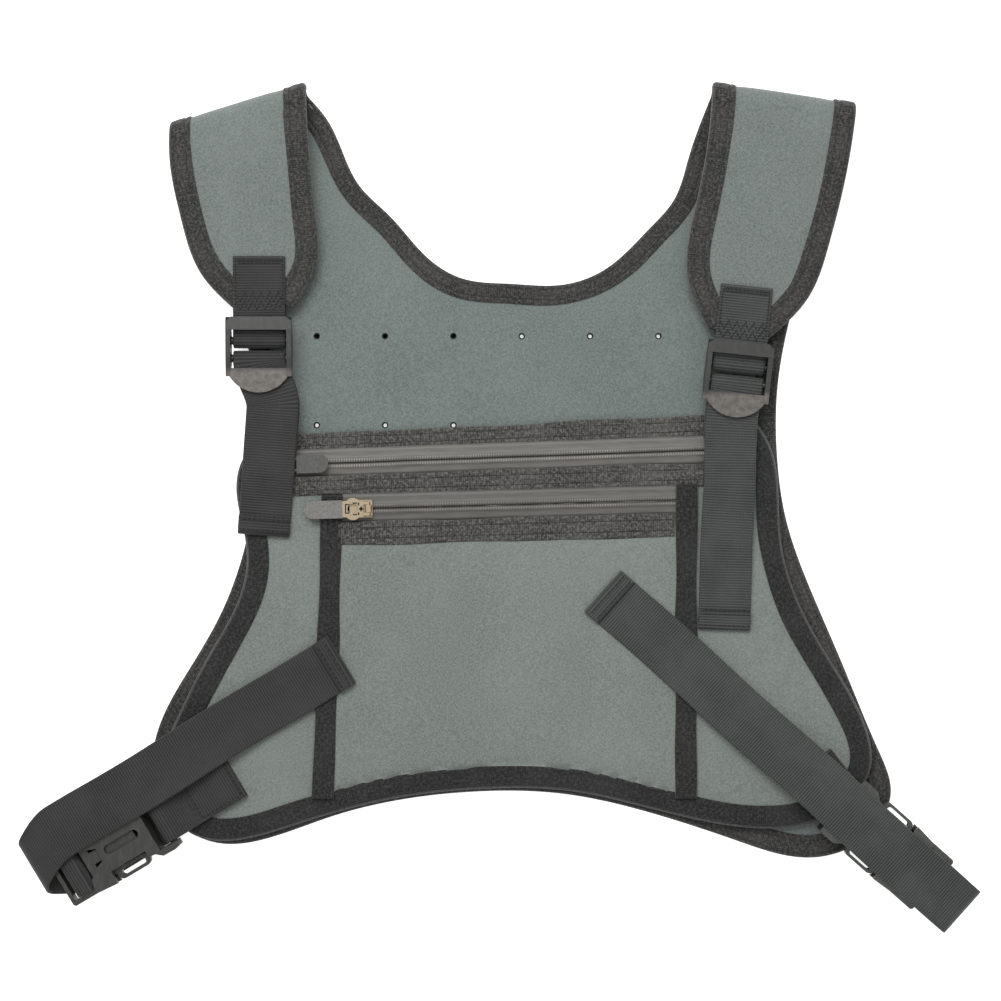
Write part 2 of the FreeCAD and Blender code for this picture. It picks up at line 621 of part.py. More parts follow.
UPPER_SLIDER_X = -103.6
LOWER_SLIDER_X = -66.6
upper_pull_place = slider("upper", UPPER_SLIDER_X, 17.6, 1)
lower_pull_place = slider("lower", LOWER_SLIDER_X, 12.5, -1)
tab = new_body("lower_pull_tab_body")
tab_sketch = sketch_on(tab, "XY_Plane", "tab_outline", "-dims.pull_thickness / 2")
half = size("slider_width") / 2
TAB_START, TAB_END = 12.5, 30.6
edges_of(tab_sketch, [Part.LineSegment(Vector(TAB_START, -half, 0), Vector(TAB_START, half, 0)),
                      Part.LineSegment(Vector(TAB_START, half, 0), Vector(TAB_END - half, half, 0)),
                      Part.Arc(Vector(TAB_END - half, half, 0), Vector(TAB_END, 0, 0),
                               Vector(TAB_END - half, -half, 0)),
                      Part.LineSegment(Vector(TAB_END - half, -half, 0), Vector(TAB_START, -half, 0))])
pad(tab, tab_sketch, "dims.pull_thickness * 1.25")
doc.recompute()
tab.Placement = lower_pull_place
keep("lower_pull_tab", tab)

# ladder locks and shoulder webbing
WEB_WIDTH = size("webbing_width")
LOCKS = {"left": {"at": (-115.3, 79.3), "tail_at": (-106.4, 79.3), "lock_yaw": -90.0, "tail_yaw": -94.3,
                  "stub_start": -40.2, "hem": (84.4, 93.0), "low_split": 27.0},
         "right": {"at": (114.2, 67.4), "tail_at": (111.5, 67.4), "lock_yaw": -96.0, "tail_yaw": -91.8,
                   "stub_start": -38.0, "hem": (117.4, 126.2), "low_split": 21.0}}
SPLIT = 27.0                     # where the webbing in the lock ends and the webbing on the vest starts
SPLIT_GAP = 0.3


def ladder_lock(side, data):
    half_gap = WEB_WIDTH / 2 + 0.9
    half_lock = half_gap + size("rail_width")
    bar = size("bar_diameter") / 2
    rim_bottom = TURN + WEB / 2 + size("rim_gap")
    rim_top = rim_bottom + size("cover_thickness")
    tab_bottom = TURN + WEB / 2 + size("turn_gap")
    tab_top = tab_bottom + size("cover_thickness")
    spacing = size("bar_spacing")
    rim_start = -(TURN + WEB / 2 + 1.1 + size("rim_length"))
    tab_start = spacing + TURN + WEB / 2 + 1.2
    tab_end = tab_start + size("tab_length")
    body = new_body(side + "_lock_body")
    for sign in (-1, 1):
        rail = sketch_on(body, "XZ_Plane", side + "_rail%d" % (sign + 1),
                         "%g mm" % (-sign * (half_gap + half_lock) / 2))
        loop_of(rail, [(rim_start, rim_bottom), (rim_start + 1.5, rim_top), (spacing, rim_top - 0.8),
                       (tab_start + 4, tab_top), (tab_start + 4, tab_bottom), (spacing + bar, -bar),
                       (-bar, -bar), (rim_start, rim_bottom - 1.5)])
        pad(body, rail, "dims.rail_width", midplane=True)
    rim = sketch_on(body, "XY_Plane", side + "_rim", "%g mm" % rim_bottom)
    loop_of(rim, [(rim_start, -half_lock + 2.5), (rim_start, half_lock - 2.5), (rim_start + 2.5, half_lock),
                  (rim_start + size("rim_length"), half_lock), (rim_start + size("rim_length"), -half_lock),
                  (rim_start + 2.5, -half_lock)])
    pad(body, rim, "dims.cover_thickness")
    thumb = sketch_on(body, "XY_Plane", side + "_thumb", "%g mm" % tab_bottom)
    edges_of(thumb, [Part.LineSegment(Vector(tab_start, -half_lock, 0), Vector(tab_start, half_lock, 0)),
                     Part.Arc(Vector(tab_start, half_lock, 0), Vector(tab_end, 0, 0),
                              Vector(tab_start, -half_lock, 0))])
    pad(body, thumb, "dims.cover_thickness")
    bars = sketch_on(body, "XZ_Plane", side + "_bars")
    bars.addGeometry(Part.Circle(Vector(0, 0, 0), Vector(0, 0, 1), bar))
    bars.addGeometry(Part.Circle(Vector(spacing, 0, 0), Vector(0, 0, 1), bar))
    pad(body, bars, "%g mm" % (2 * half_gap + 1), midplane=True)
    doc.recompute()
    x, y = data["at"]
    body.Placement = frame(x * GRADE_ACROSS, y * GRADE_ALONG, TIP_MIDDLE, data["lock_yaw"])
    keep(side + "_ladder_lock", body)


around_front_edge = prism(strip_face(inset(front_side, -0.4), inset(front_side, size("binding") + 0.2)),
                          0, 20)
for side, data in LOCKS.items():
    ladder_lock(side, data)
    x, y = data["at"]
    lock_frame = frame(x * GRADE_ACROSS, y * GRADE_ALONG, TIP_MIDDLE, data["lock_yaw"])
    tail_x, tail_y = data["tail_at"]
    tail_frame = frame(tail_x * GRADE_ACROSS, tail_y * GRADE_ALONG, TIP_MIDDLE, data["tail_yaw"])
    spacing = size("bar_spacing")
    sewn_height = FRONT_BOTTOM + TAPE + size("lay_gap") + WEB / 2 - TIP_MIDDLE
    stub = band([(data["stub_start"], TURN, 0), (TURN, TURN, TURN), (TURN, -TURN, TURN),
                 (data["stub_start"] + 8, -TURN, 0)],
                WEB, WEB_WIDTH)
    keep(side + "_strap_webbing", feature(side + "_strap_webbing", stub, lock_frame))
    height, angle = ZIP_LINE["upper"]
    zip_y = height * GRADE_ALONG + tail_x * GRADE_ACROSS * math.tan(math.radians(angle))
    far = tail_y * GRADE_ALONG - zip_y - size("slider_width") / 2 - 1.2
    skew = math.radians(abs(data["tail_yaw"] - data["lock_yaw"]))
    join = SPLIT_GAP + WEB_WIDTH / 2 * math.tan(skew)
    low_split = data["low_split"] * GRADE_ALONG
    sewn = band([(far, sewn_height, 0), (far - 4, sewn_height, 6), (low_split + join, -TURN, 0)],
                WEB, WEB_WIDTH)
    sewn.Placement = tail_frame
    trimmed = sewn.cut(around_front_edge).Solids           # the offcut outside the edge binding falls away
    keep(side + "_chest_webbing", feature(side + "_chest_webbing", max(trimmed,
                                                                       key=lambda piece: piece.Volume)))
    wrap = band([(low_split, -TURN, 0), (spacing - TURN, -TURN, TURN),
                 (spacing - TURN, TURN, TURN), (SPLIT, TURN, 0)],
                WEB, WEB_WIDTH)
    keep(side + "_chest_webbing_turn", feature(side + "_chest_webbing_turn", wrap, lock_frame))
    hem_start = data["hem"][0] * GRADE_ALONG
    hem_end = hem_start + data["hem"][1] - data["hem"][0]
    rest = FRONT_BOUND_TOP + size("lay_gap") + WEB / 2 - TIP_MIDDLE
    over_zip = 1.9
    over_zip_at = min(63.0, hem_start - 21)
    tail = band([(SPLIT + join, TURN, 0), (over_zip_at, over_zip, 40), (hem_start - 6, rest, 30),
                 (hem_start, rest, 0)],
                WEB, WEB_WIDTH)
    hem = Part.makeBox(hem_end - hem_start, WEB_WIDTH, 2 * WEB,
                       Vector(hem_start, -WEB_WIDTH / 2, rest - WEB / 2))
    keep(side + "_chest_tail", feature(side + "_chest_tail", tail.fuse(hem).removeSplitter(), tail_frame))

# side release buckles and waist webbing
# Along each buckle: x runs outward from the middle of the socket's top slot, y across, z up.
BUCKLE_TILT = 4.0                # the buckle's outer end lies lower, off the edge of the vest
SOCKET_END = 23.3                # webbing bar end of the socket
BAR_AT = -21.3
SLOT_EDGE = -14.2
WALL_EDGE = -10.0
MOUTH = 23.0
NOTCH = (-7.7, 11.5)
RAIL_END = 19.0
BASE_WEBBING = 25.0              # the buckle's width is that of a buckle for this webbing
HALF_WIDTH = size("buckle_width") / 2 - 0.1 + (WEB_WIDTH - BASE_WEBBING) / 2
HALF_HEIGHT = size("buckle_height") / 2
CHANNEL = HALF_HEIGHT - size("shell")
PLUG = CHANNEL - size("running_gap")
ARM_ROOT = 16.7
CROSS_START, CROSS_END = 17.0, 21.0
FRAME_START = 19.3               # where the plug widens to its adjuster frame
TILT = math.radians(BUCKLE_TILT)
BUCKLE_HEIGHT = FRONT_BOUND_TOP + 0.5 + HALF_HEIGHT * math.cos(TILT) - SOCKET_END * math.sin(TILT)
BUCKLES = {"left": {"at": (-180.5, -159.9), "yaw": 211.0, "stub": 40.6, "tail": 133.9,
                    "tail_shift": -19.6, "tail_yaw": 211.2, "stub_yaw": 0.0, "under_bend": -26.0,
                    "turn_out": 46.5},
           "right": {"at": (180.1, -157.8), "yaw": -41.5, "stub": 25.0, "tail": 175.2,
                     "tail_shift": 0.0, "tail_yaw": -41.9, "stub_yaw": -10.5, "under_bend": -8.0,
                     "turn_out": 55.0}}


def mirrored(points):
    """Outline of one half and its mirror image below the x axis."""
    return points + [(x, -y) for x, y in reversed(points)]


def buckle_socket(side, place):
    body = new_body(side + "_socket_body")
    plan = sketch_on(body, "XY_Plane", side + "_socket_plan")
    loop_of(plan, mirrored([(-SOCKET_END, HALF_WIDTH - 0.6), (-SOCKET_END + 2.5, HALF_WIDTH),
                            (-14.4, HALF_WIDTH - 0.2),
                            (-11.2, 13.6), (NOTCH[0], 13.1), (NOTCH[0], 9.8), (NOTCH[1], 9.8),
                            (NOTCH[1], HALF_WIDTH), (MOUTH - 1, HALF_WIDTH - 0.9), (MOUTH, HALF_WIDTH - 2.2),
                            (MOUTH, 13.4), (21.6, 8.9), (17.4, 5.2), (12.4, 3.4)]))
    pad(body, plan, "dims.buckle_height", midplane=True)
    pill = sketch_on(body, "XY_Plane", side + "_socket_pill")
    slot_loop(pill, (0, 0), 18.6, 4.6)
    pocket(body, pill, midplane=True)
    webbing_slot = sketch_on(body, "XY_Plane", side + "_socket_slot")
    half_slot = WEB_WIDTH / 2 + 0.5
    loop_of(webbing_slot, [(-30, -half_slot), (SLOT_EDGE, -half_slot), (SLOT_EDGE, half_slot),
                           (-30, half_slot)])
    pocket(body, webbing_slot, midplane=True)
    bar = sketch_on(body, "XZ_Plane", side + "_socket_bar")
    bar.addGeometry(Part.Circle(Vector(BAR_AT, 0, 0), Vector(0, 0, 1), size("bar_diameter") / 2))
    pad(body, bar, "%g mm" % (2 * half_slot + 1), midplane=True)
    channel = sketch_on(body, "XZ_Plane", side + "_socket_channel")
    loop_of(channel, [(WALL_EDGE, -CHANNEL), (MOUTH + 5, -CHANNEL), (MOUTH + 5, CHANNEL),
                      (WALL_EDGE, CHANNEL)])
    pocket(body, channel, midplane=True)
    for sign in (-1, 1):
        for level in (-1, 1):
            name = side + "_socket_rail%d%d" % (sign + 1, level + 1)
            lift = size("arm_slot") / 2 if level > 0 else -CHANNEL - 0.2
            rail = sketch_on(body, "XY_Plane", name, "%g mm" % lift)
            loop_of(rail, [(12.2, sign * (HALF_WIDTH - 2.7)), (RAIL_END, sign * (HALF_WIDTH - 2.7)),
                           (RAIL_END, sign * (HALF_WIDTH - 1)), (12.2, sign * (HALF_WIDTH - 0.3))])
            pad(body, rail, "%g mm" % (CHANNEL + 0.2 - size("arm_slot") / 2))
    doc.recompute()
    body.Placement = place
    keep(side + "_buckle_socket", body)


ADJUSTER_END = 36.2
BAR_START, BAR_END = 25.2, 30.6
OUTER_SLOT_END = 34.2
TONGUE = -7.0


def buckle_plug(side, place):
    body = new_body(side + "_plug_body")
    plan = sketch_on(body, "XY_Plane", side + "_plug_plan")
    inner = WEB_WIDTH / 2 + 0.7
    loop_of(plan, mirrored([(TONGUE, 2.4), (TONGUE + 1.5, 3.0), (CROSS_START, 3.0), (CROSS_START, inner),
                            (FRAME_START, inner), (FRAME_START, HALF_WIDTH - 0.8),
                            (ADJUSTER_END - 1, HALF_WIDTH - 0.8),
                            (ADJUSTER_END, HALF_WIDTH - 1.8)]))
    pad(body, plan, "%g mm" % (2 * PLUG), midplane=True)
    for name, start, end in (("inner", CROSS_END, BAR_START), ("outer", BAR_END, OUTER_SLOT_END)):
        hole = sketch_on(body, "XY_Plane", side + "_plug_" + name)
        loop_of(hole, [(start, -inner), (end, -inner), (end, inner), (start, inner)])
        pocket(body, hole, midplane=True)
    doc.recompute()
    body.Placement = place
    keep(side + "_buckle_plug", body)
    for number, sign in (("upper", 1), ("lower", -1)):
        arm = new_body(side + "_arm_" + number)
        outline = sketch_on(arm, "XY_Plane", side + "_arm_outline_" + number)
        slot_loop(outline, (1.4, sign * 13.3), 18.0, 6.0)
        pad(arm, outline, "dims.arm_slot - 0.4", midplane=True)
        beam = sketch_on(arm, "XY_Plane", side + "_arm_beam_" + number)
        low = 11.0 - size("arm_width") / 2
        loop_of(beam, [(5.0, sign * low), (ARM_ROOT, sign * low), (ARM_ROOT,
                                                                   sign * (low + size("arm_width"))),
                       (5.0, sign * (low + size("arm_width")))])
        pad(arm, beam, "dims.arm_slot - 0.4", midplane=True)
        eye = sketch_on(arm, "XY_Plane", side + "_arm_eye_" + number)
        slot_loop(eye, (1.4, sign * 13.4), 13.0, 2.8)
        pocket(arm, eye, midplane=True)
        doc.recompute()
        arm.Placement = place
        keep(side + "_buckle_arm_" + number, arm)


back_outline = prism(Part.Face(Part.Wire(Part.__sortEdges__(
    [back_side.toShape(), neck_back.toShape(), Part.makeLine(back_side.EndPoint, neck_back.StartPoint),
     Part.makeLine(neck_back.EndPoint, back_side.StartPoint)]))), -1, 5)


def over_axis(along, height):
    """A point of the tilted buckle's side view, in the upright side view."""
    return (along * math.cos(TILT) + height * math.sin(TILT),
            BUCKLE_HEIGHT - along * math.sin(TILT) + height * math.cos(TILT))


def graded_yaw(yaw):
    """Direction of a buckle at the vest's corner, which leans with the panel's size."""
    along, across = math.sin(math.radians(yaw)), math.cos(math.radians(yaw))
    return yaw + math.degrees(math.atan2(along * GRADE_ALONG, across * GRADE_ACROSS) - math.atan2(along,
                                                                                                  across))


UNDER = -HALF_HEIGHT - 1.1       # middle of the webbing that passes under the socket
OVER = HALF_HEIGHT + 1.6         # middle of the webbing that passes over the socket
LOOP_START = 40.5
WAIST_WIDTH = size("waist_width")
JOIN_UNDER, JOIN_OVER = 12.3, 40.0
for side, data in BUCKLES.items():
    x, y = data["at"][0] * GRADE_ACROSS, data["at"][1] * GRADE_ALONG
    yaw = graded_yaw(data["yaw"])
    tilted = frame(x, y, BUCKLE_HEIGHT, yaw, BUCKLE_TILT)
    upright = frame(x, y, 0, yaw)
    buckle_socket(side, tilted)
    buckle_plug(side, tilted)
    bar_x, bar_z = over_axis(BAR_AT, 0)
    ply = FRONT_BOUND_TOP + size("lay_gap") + WEB / 2
    turn_x = bar_x + TURN
    end = bar_x - data["stub"]
    stub = band([(end, ply, 0), (bar_x - 14, ply, 20), (turn_x, bar_z - TURN, 2.4),
                 (turn_x, bar_z + TURN, 2.4),
                 (bar_x - 1.5, bar_z + TURN, 3), (bar_x - 14, ply + WEB + 0.1, 12),
                 (end, ply + WEB + 0.1, 0)],
                WEB, WEB_WIDTH)
    stub.rotate(Vector(bar_x, 0, 0), Vector(0, 0, 1), data["stub_yaw"])
    keep(side + "_corner_webbing", feature(side + "_corner_webbing", stub, upright))
    around = PLUG + 0.3 + WEB / 2
    inner_up = BAR_START - 0.35 - WEB / 2
    outer_down = BAR_END + 0.35 + WEB / 2
    turn = (OVER + around) / 2 - 0.05
    turn_out = data["turn_out"]                            # where the webbing's free loop turns back
    straight_end = min(LOOP_START + 3, turn_out - turn)
    threaded = band([(JOIN_UNDER, UNDER, 0), (inner_up, UNDER, 2.0), (inner_up, around, 1.6),
                     (outer_down, around, 1.6),
                     (outer_down, -around, 1.6), (straight_end, -around, 0)], WEB, WEB_WIDTH)
    returned = band([(LOOP_START, -around, 0), (turn_out, -around, turn), (turn_out, OVER, turn),
                     (JOIN_OVER, OVER, 0)],
                    WEB, WAIST_WIDTH)
    tail_foot = upright.multVec(Vector(0, data["tail_shift"], 0))
    tail_upright = frame(tail_foot.x, tail_foot.y, 0, yaw + data["tail_yaw"] - data["yaw"])
    tail_base = tilted.inverse().multVec(tail_upright.multVec(Vector(LOOP_START, 0, 0)))
    returned.translate(Vector(0, tail_base.y / 2, 0))
    loop = threaded.fuse(returned).removeSplitter()
    keep(side + "_waist_webbing_turn", feature(side + "_waist_webbing_turn", loop, tilted))
    under_x, under_z = over_axis(JOIN_UNDER - SPLIT_GAP, UNDER)
    under = band([(-60, BACK_BOUND_TOP / 2, 0), (data["under_bend"], BACK_BOUND_TOP / 2, 12),
                  (under_x, under_z, 0)],
                 WEB, WEB_WIDTH)
    under.Placement = upright
    under = under.cut(back_outline)
    under = sorted(under.Solids, key=lambda solid: solid.Volume)[-1]
    keep(side + "_waist_webbing", feature(side + "_waist_webbing", under))
    over_x, over_z = over_axis(JOIN_OVER - SPLIT_GAP, OVER)
    crest_x, crest_z = over_axis(-SOCKET_END - 1, OVER)
    rest = POCKET_BOUND_TOP + size("lay_gap") + WEB / 2
    tail = band([(over_x, over_z, 0), (crest_x, crest_z, 25), (crest_x - 40, rest + 2.2, 50),
                 (-data["tail"] + 50, rest, 60),
                 (-data["tail"], rest, 0)], WEB, WAIST_WIDTH)
    keep(side + "_waist_tail", feature(side + "_waist_tail", tail, tail_upright))

doc.recompute()

# checks and files
failed = [item.Label for item in doc.Objects if "Invalid" in item.State or "Error" in item.State]
for label, item in NODES.items():
    if item.Shape.isNull() or not item.Shape.isValid():
        failed.append(label)
if failed:
    raise RuntimeError("failed objects: " + ", ".join(failed))

os.makedirs("parts", exist_ok=True)
for label, item in NODES.items():
    item.Shape.exportStep("parts/%s.step" % label)
    box = item.Shape.BoundBox
    print("%-28s solids %d  x %.1f %.1f  y %.1f %.1f  z %.1f %.1f" % (
        label, len(item.Shape.Solids), box.XMin, box.XMax, box.YMin, box.YMax, box.ZMin, box.ZMax))
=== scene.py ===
import math
import random
import bpy
import numpy as np
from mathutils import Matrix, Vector


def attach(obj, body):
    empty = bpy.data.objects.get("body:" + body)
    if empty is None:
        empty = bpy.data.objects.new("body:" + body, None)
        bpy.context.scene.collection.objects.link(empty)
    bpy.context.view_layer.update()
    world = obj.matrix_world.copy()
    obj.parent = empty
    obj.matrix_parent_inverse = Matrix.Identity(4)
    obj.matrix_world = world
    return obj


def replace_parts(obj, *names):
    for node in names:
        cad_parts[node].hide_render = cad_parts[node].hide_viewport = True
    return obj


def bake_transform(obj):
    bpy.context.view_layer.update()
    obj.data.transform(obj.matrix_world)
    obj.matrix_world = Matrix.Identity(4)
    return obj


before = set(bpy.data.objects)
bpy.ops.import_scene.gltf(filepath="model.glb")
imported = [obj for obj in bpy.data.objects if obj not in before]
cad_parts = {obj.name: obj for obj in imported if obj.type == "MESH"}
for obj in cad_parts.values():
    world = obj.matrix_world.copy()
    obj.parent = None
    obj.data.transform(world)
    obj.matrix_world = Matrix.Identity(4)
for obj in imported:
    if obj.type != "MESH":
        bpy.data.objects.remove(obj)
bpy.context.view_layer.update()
random.seed(7)
mm = 0.001                                   # lengths below are in millimetres, meshes in metres
madeMaterials = {}


# small tools
def tone(red, green, blue):
    values = [c / 255.0 for c in (red, green, blue)]
    return tuple(c / 12.92 if c <= 0.04045 else ((c + 0.055) / 1.055) ** 2.4 for c in values) + (1.0,)


def tinted(colour, by):
    return tuple(min(c * by, 1.0) for c in colour[:3]) + (1.0,)


def smoothStep(x):
    x = np.clip(x, 0.0, 1.0)
    return x * x * (3 - 2 * x)


def evenly(points, spacing):                 # the same line with points at even distances
    points = np.asarray(points, float)
    along = np.concatenate([[0], np.cumsum(np.linalg.norm(np.diff(points, axis=0), axis=1))])
    count = max(int(round(along[-1] / spacing)), 2)
    at = np.linspace(0, along[-1], count + 1)
    return np.stack([np.interp(at, along, points[:, k]) for k in range(points.shape[1])], axis=1)


def throughPoints(points, spacing=2.0):      # smooth cut line through pattern points
    p = np.asarray(points, float)
    t = np.concatenate([[0], np.cumsum(np.linalg.norm(np.diff(p, axis=0), axis=1))])
    h = np.diff(t)
    count = len(p)
    a = np.eye(count)
    b = np.zeros_like(p)
    for i in range(1, count - 1):
        a[i, i - 1], a[i, i], a[i, i + 1] = h[i - 1], 2 * (h[i - 1] + h[i]), h[i]
        b[i] = 3 * ((p[i + 1] - p[i]) / h[i] - (p[i] - p[i - 1]) / h[i - 1])
    c = np.linalg.solve(a, b)
    line = []
    for i in range(count - 1):
        slope = (p[i + 1] - p[i]) / h[i] - h[i] * (2 * c[i] + c[i + 1]) / 3
        for s in np.linspace(0, h[i], 24, endpoint=False):
            line.append(p[i] + slope * s + c[i] * s ** 2 + (c[i + 1] - c[i]) / (3 * h[i]) * s ** 3)
    line.append(p[-1])
    return evenly(line, spacing)


def headings(line):                          # unit direction at every point of a line
    d = np.gradient(np.asarray(line, float), axis=0)
    return d / np.maximum(np.linalg.norm(d, axis=1, keepdims=True), 1e-9)


def leftOf(line):
    d = headings(line)
    return np.stack([-d[:, 1], d[:, 0]], axis=1)


def routeLine(route, step=1.0):              # side view: straight runs (x, z, bend radius) with tangent arcs
    pts = [np.array(r[:2], float) for r in route]
    line = [pts[0]]
    for i in range(1, len(pts) - 1):
        d0 = (pts[i] - pts[i - 1]) / np.linalg.norm(pts[i] - pts[i - 1])
        d1 = (pts[i + 1] - pts[i]) / np.linalg.norm(pts[i + 1] - pts[i])
        turn = math.atan2(d0[0] * d1[1] - d0[1] * d1[0], float(d0 @ d1))
        radius = route[i][2]
        start = pts[i] - d0 * radius * math.tan(abs(turn) / 2)
        side = 1 if turn > 0 else -1
        centre = start + np.array([-d0[1], d0[0]]) * radius * side
        arm = start - centre
        for k in range(13):
            angle = turn * k / 12
            line.append(centre + np.array([arm[0] * math.cos(angle) - arm[1] * math.sin(angle),
                                           arm[0] * math.sin(angle) + arm[1] * math.cos(angle)]))
    line.append(pts[-1])
    clean = [line[0]]
    for q in line[1:]:
        if np.linalg.norm(q - clean[-1]) > 1e-4:
            clean.append(q)
    return evenly(clean, step)


def wander(x, y, reach, size, seed=0.0):     # slow waviness of cloth, in millimetres
    total = np.zeros_like(np.asarray(x, float))
    for k, (fx, fy, ph) in enumerate(((1.0, 0.35, 0.3), (0.55, -1.1, 2.1), (-0.8, 0.9, 4.0),
                                      (1.7, 1.3, 1.2), (-1.9, 0.7, 5.1))):
        total += np.sin((fx * x + fy * y) / size * 2 * math.pi / (1 + 0.37 * k) + ph
                        + seed * (k + 1)) / (1 + 0.6 * k)
    return total * reach / 2.2


def addMesh(name, verts, faces, material, body="root", uvs=None, smooth=True):
    data = bpy.data.meshes.new(name)
    data.from_pydata([tuple(v) for v in np.asarray(verts) * mm], [],
                     [tuple(int(i) for i in f) for f in faces])
    data.validate()
    if uvs is not None:
        layer = data.uv_layers.new(name="along")
        loops = np.empty(len(data.loops), int)
        data.loops.foreach_get("vertex_index", loops)
        layer.data.foreach_set("uv", (np.asarray(uvs)[loops] * mm).ravel())
    data.polygons.foreach_set("use_smooth", [smooth] * len(data.polygons))
    data.materials.append(material)
    obj = bpy.data.objects.new(name, data)
    bpy.context.scene.collection.objects.link(obj)
    if body:
        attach(obj, body)
    return obj


def sweep(rings, closedEnds=True):           # faces between equal rings of points, ends closed by fans
    rings = np.asarray(rings)
    count, ring = rings.shape[:2]
    verts = rings.reshape(-1, 3)
    faces = []
    for i in range(count - 1):
        for j in range(ring):
            k = (j + 1) % ring
            faces.append((i * ring + j, i * ring + k, (i + 1) * ring + k, (i + 1) * ring + j))
    if closedEnds:
        faces.append(tuple(range(ring - 1, -1, -1)))
        faces.append(tuple((count - 1) * ring + j for j in range(ring)))
    return verts, faces


# materials
class Shader:
    def __init__(self, name):
        self.material = bpy.data.materials.new(name)
        self.material.use_nodes = True
        self.tree = self.material.node_tree
        self.bsdf = self.tree.nodes["Principled BSDF"]
        madeMaterials[name] = self.material

    def node(self, kind, inputs=None, **settings):
        made = self.tree.nodes.new(kind)
        for key, value in settings.items():
            setattr(made, key, value)
        for key, value in (inputs or {}).items():
            self.feed(made.inputs[key], value)
        return made

    def feed(self, socket, value):
        if isinstance(value, bpy.types.NodeSocket):
            self.tree.links.new(value, socket)
        else:
            socket.default_value = value

    def sum(self, a, b, how="ADD", third=None):
        made = self.node("ShaderNodeMath", {0: a, 1: b}, operation=how)
        if third is not None:
            self.feed(made.inputs[2], third)
        return made.outputs[0]

    def place(self, useUv, scale=(1000.0, 1000.0, 1000.0)):
        source = self.node("ShaderNodeTexCoord").outputs["UV" if useUv else "Object"]
        return self.node("ShaderNodeMapping", {"Vector": source, "Scale": scale}).outputs[0]

    def grain(self, vector, scale, detail=2.0, rough=0.6):
        return self.node("ShaderNodeTexNoise", {"Vector": vector, "Scale": scale, "Detail": detail,
                                                "Roughness": rough}).outputs["Fac"]

    def span(self, value, low, high, toLow, toHigh):
        return self.node("ShaderNodeMapRange",
                         {"Value": value, 1: low, 2: high, 3: toLow, 4: toHigh}).outputs[0]

    def stretched(self, vector, scale, rotation=(0, 0, 0)):
        return self.node("ShaderNodeMapping", {"Vector": vector, "Scale": scale,
                                               "Rotation": rotation}).outputs[0]

    def ribs(self, vector, direction, scale, wobble=0.0):
        return self.node("ShaderNodeTexWave", {"Vector": vector, "Scale": scale, "Distortion": wobble,
                                               "Detail": 1.0, "Detail Scale": 2.0},
                         wave_type="BANDS", bands_direction=direction, wave_profile="SIN").outputs["Fac"]

    def blendColour(self, factor, a, b, how="MIX"):
        made = self.node("ShaderNodeMix", data_type="RGBA", blend_type=how)
        self.feed(made.inputs[0], factor)
        self.feed(made.inputs[6], a)
        self.feed(made.inputs[7], b)
        return made.outputs[2]

    def relief(self, height, strength, distance, under=None):
        made = self.node("ShaderNodeBump", {"Height": height, "Strength": strength, "Distance": distance})
        if under is not None:
            self.tree.links.new(under, made.inputs["Normal"])
        return made.outputs["Normal"]

    def finish(self, colour, rough, normal=None, **constants):
        self.feed(self.bsdf.inputs["Base Color"], colour)
        self.feed(self.bsdf.inputs["Roughness"], rough)
        if normal is not None:
            self.tree.links.new(normal, self.bsdf.inputs["Normal"])
        for key, value in constants.items():
            self.bsdf.inputs[key.replace("_", " ")].default_value = value
        return self.material


# knitted face of the foam rubber: fine slanted twill and speckle
def jersey(name, base, dark):
    s = Shader(name)
    place = s.place(False)
    slant = s.stretched(place, (1, 1, 1), (0, 0, math.radians(38)))
    loops = s.ribs(slant, "X", 0.30, 1.6)
    cross = s.ribs(slant, "Y", 0.42, 2.2)
    knit = s.sum(s.sum(loops, 0.62, "MULTIPLY"), s.sum(cross, 0.38, "MULTIPLY"))
    speck = s.grain(place, 1.05, 3.0, 0.75)
    cloud = s.grain(place, 0.022, 3.0, 0.55)
    face = s.blendColour(s.sum(knit, 0.50, "MULTIPLY"), dark, base)
    pale = tinted(base, 1.32)
    face = s.blendColour(s.span(speck, 0.34, 0.66, 0.0, 1.0),
                         s.blendColour(0.46, face, dark), s.blendColour(0.40, face, pale))
    light = tinted(base, 1.16)
    face = s.blendColour(s.span(cloud, 0.38, 0.68, 0.0, 0.16),
                         face, light)
    fuzz = s.grain(place, 2.6, 2.0, 0.7)
    normal = s.relief(knit, 0.35, 0.00022)
    normal = s.relief(s.sum(speck, s.sum(fuzz, 0.5, "MULTIPLY")), 0.42, 0.00028, normal)
    rough = s.span(speck, 0.2, 0.8, 0.80, 0.97)
    return s.finish(face, rough, normal, Sheen_Weight=0.22, Sheen_Roughness=0.45, Specular_IOR_Level=0.2)


def tapeCloth(name, base, dark, pitch=1.05, depth=0.45):   # binding tape: short ribs across its length
    s = Shader(name)
    place = s.place(True)
    ribs = s.ribs(place, "X", 1.0 / pitch / 3.18, 0.9)
    threads = s.ribs(place, "Y", 1.0 / 0.7 / 3.18, 1.4)
    flecks = s.grain(place, 0.70, 3.0, 0.8)
    patches = s.grain(place, 0.045, 2.0, 0.5)
    weave = s.sum(s.sum(ribs, 0.6, "MULTIPLY"), s.sum(threads, 0.4, "MULTIPLY"))
    colour = s.blendColour(weave, dark, base)
    worn = tinted(base, 1.9)
    colour = s.blendColour(s.span(flecks, 0.49, 0.64, 0.0, 0.78),
                           colour, worn)
    colour = s.blendColour(s.span(flecks, 0.37, 0.50, 0.85, 0.0),
                           colour, dark)
    colour = s.blendColour(s.span(patches, 0.42, 0.66, 0.0, 0.22),
                           colour, worn)
    normal = s.relief(weave, depth, 0.00030)
    normal = s.relief(flecks, 0.35, 0.00022, normal)
    return s.finish(colour, 0.86, normal, Sheen_Weight=0.18, Sheen_Roughness=0.5, Specular_IOR_Level=0.22)


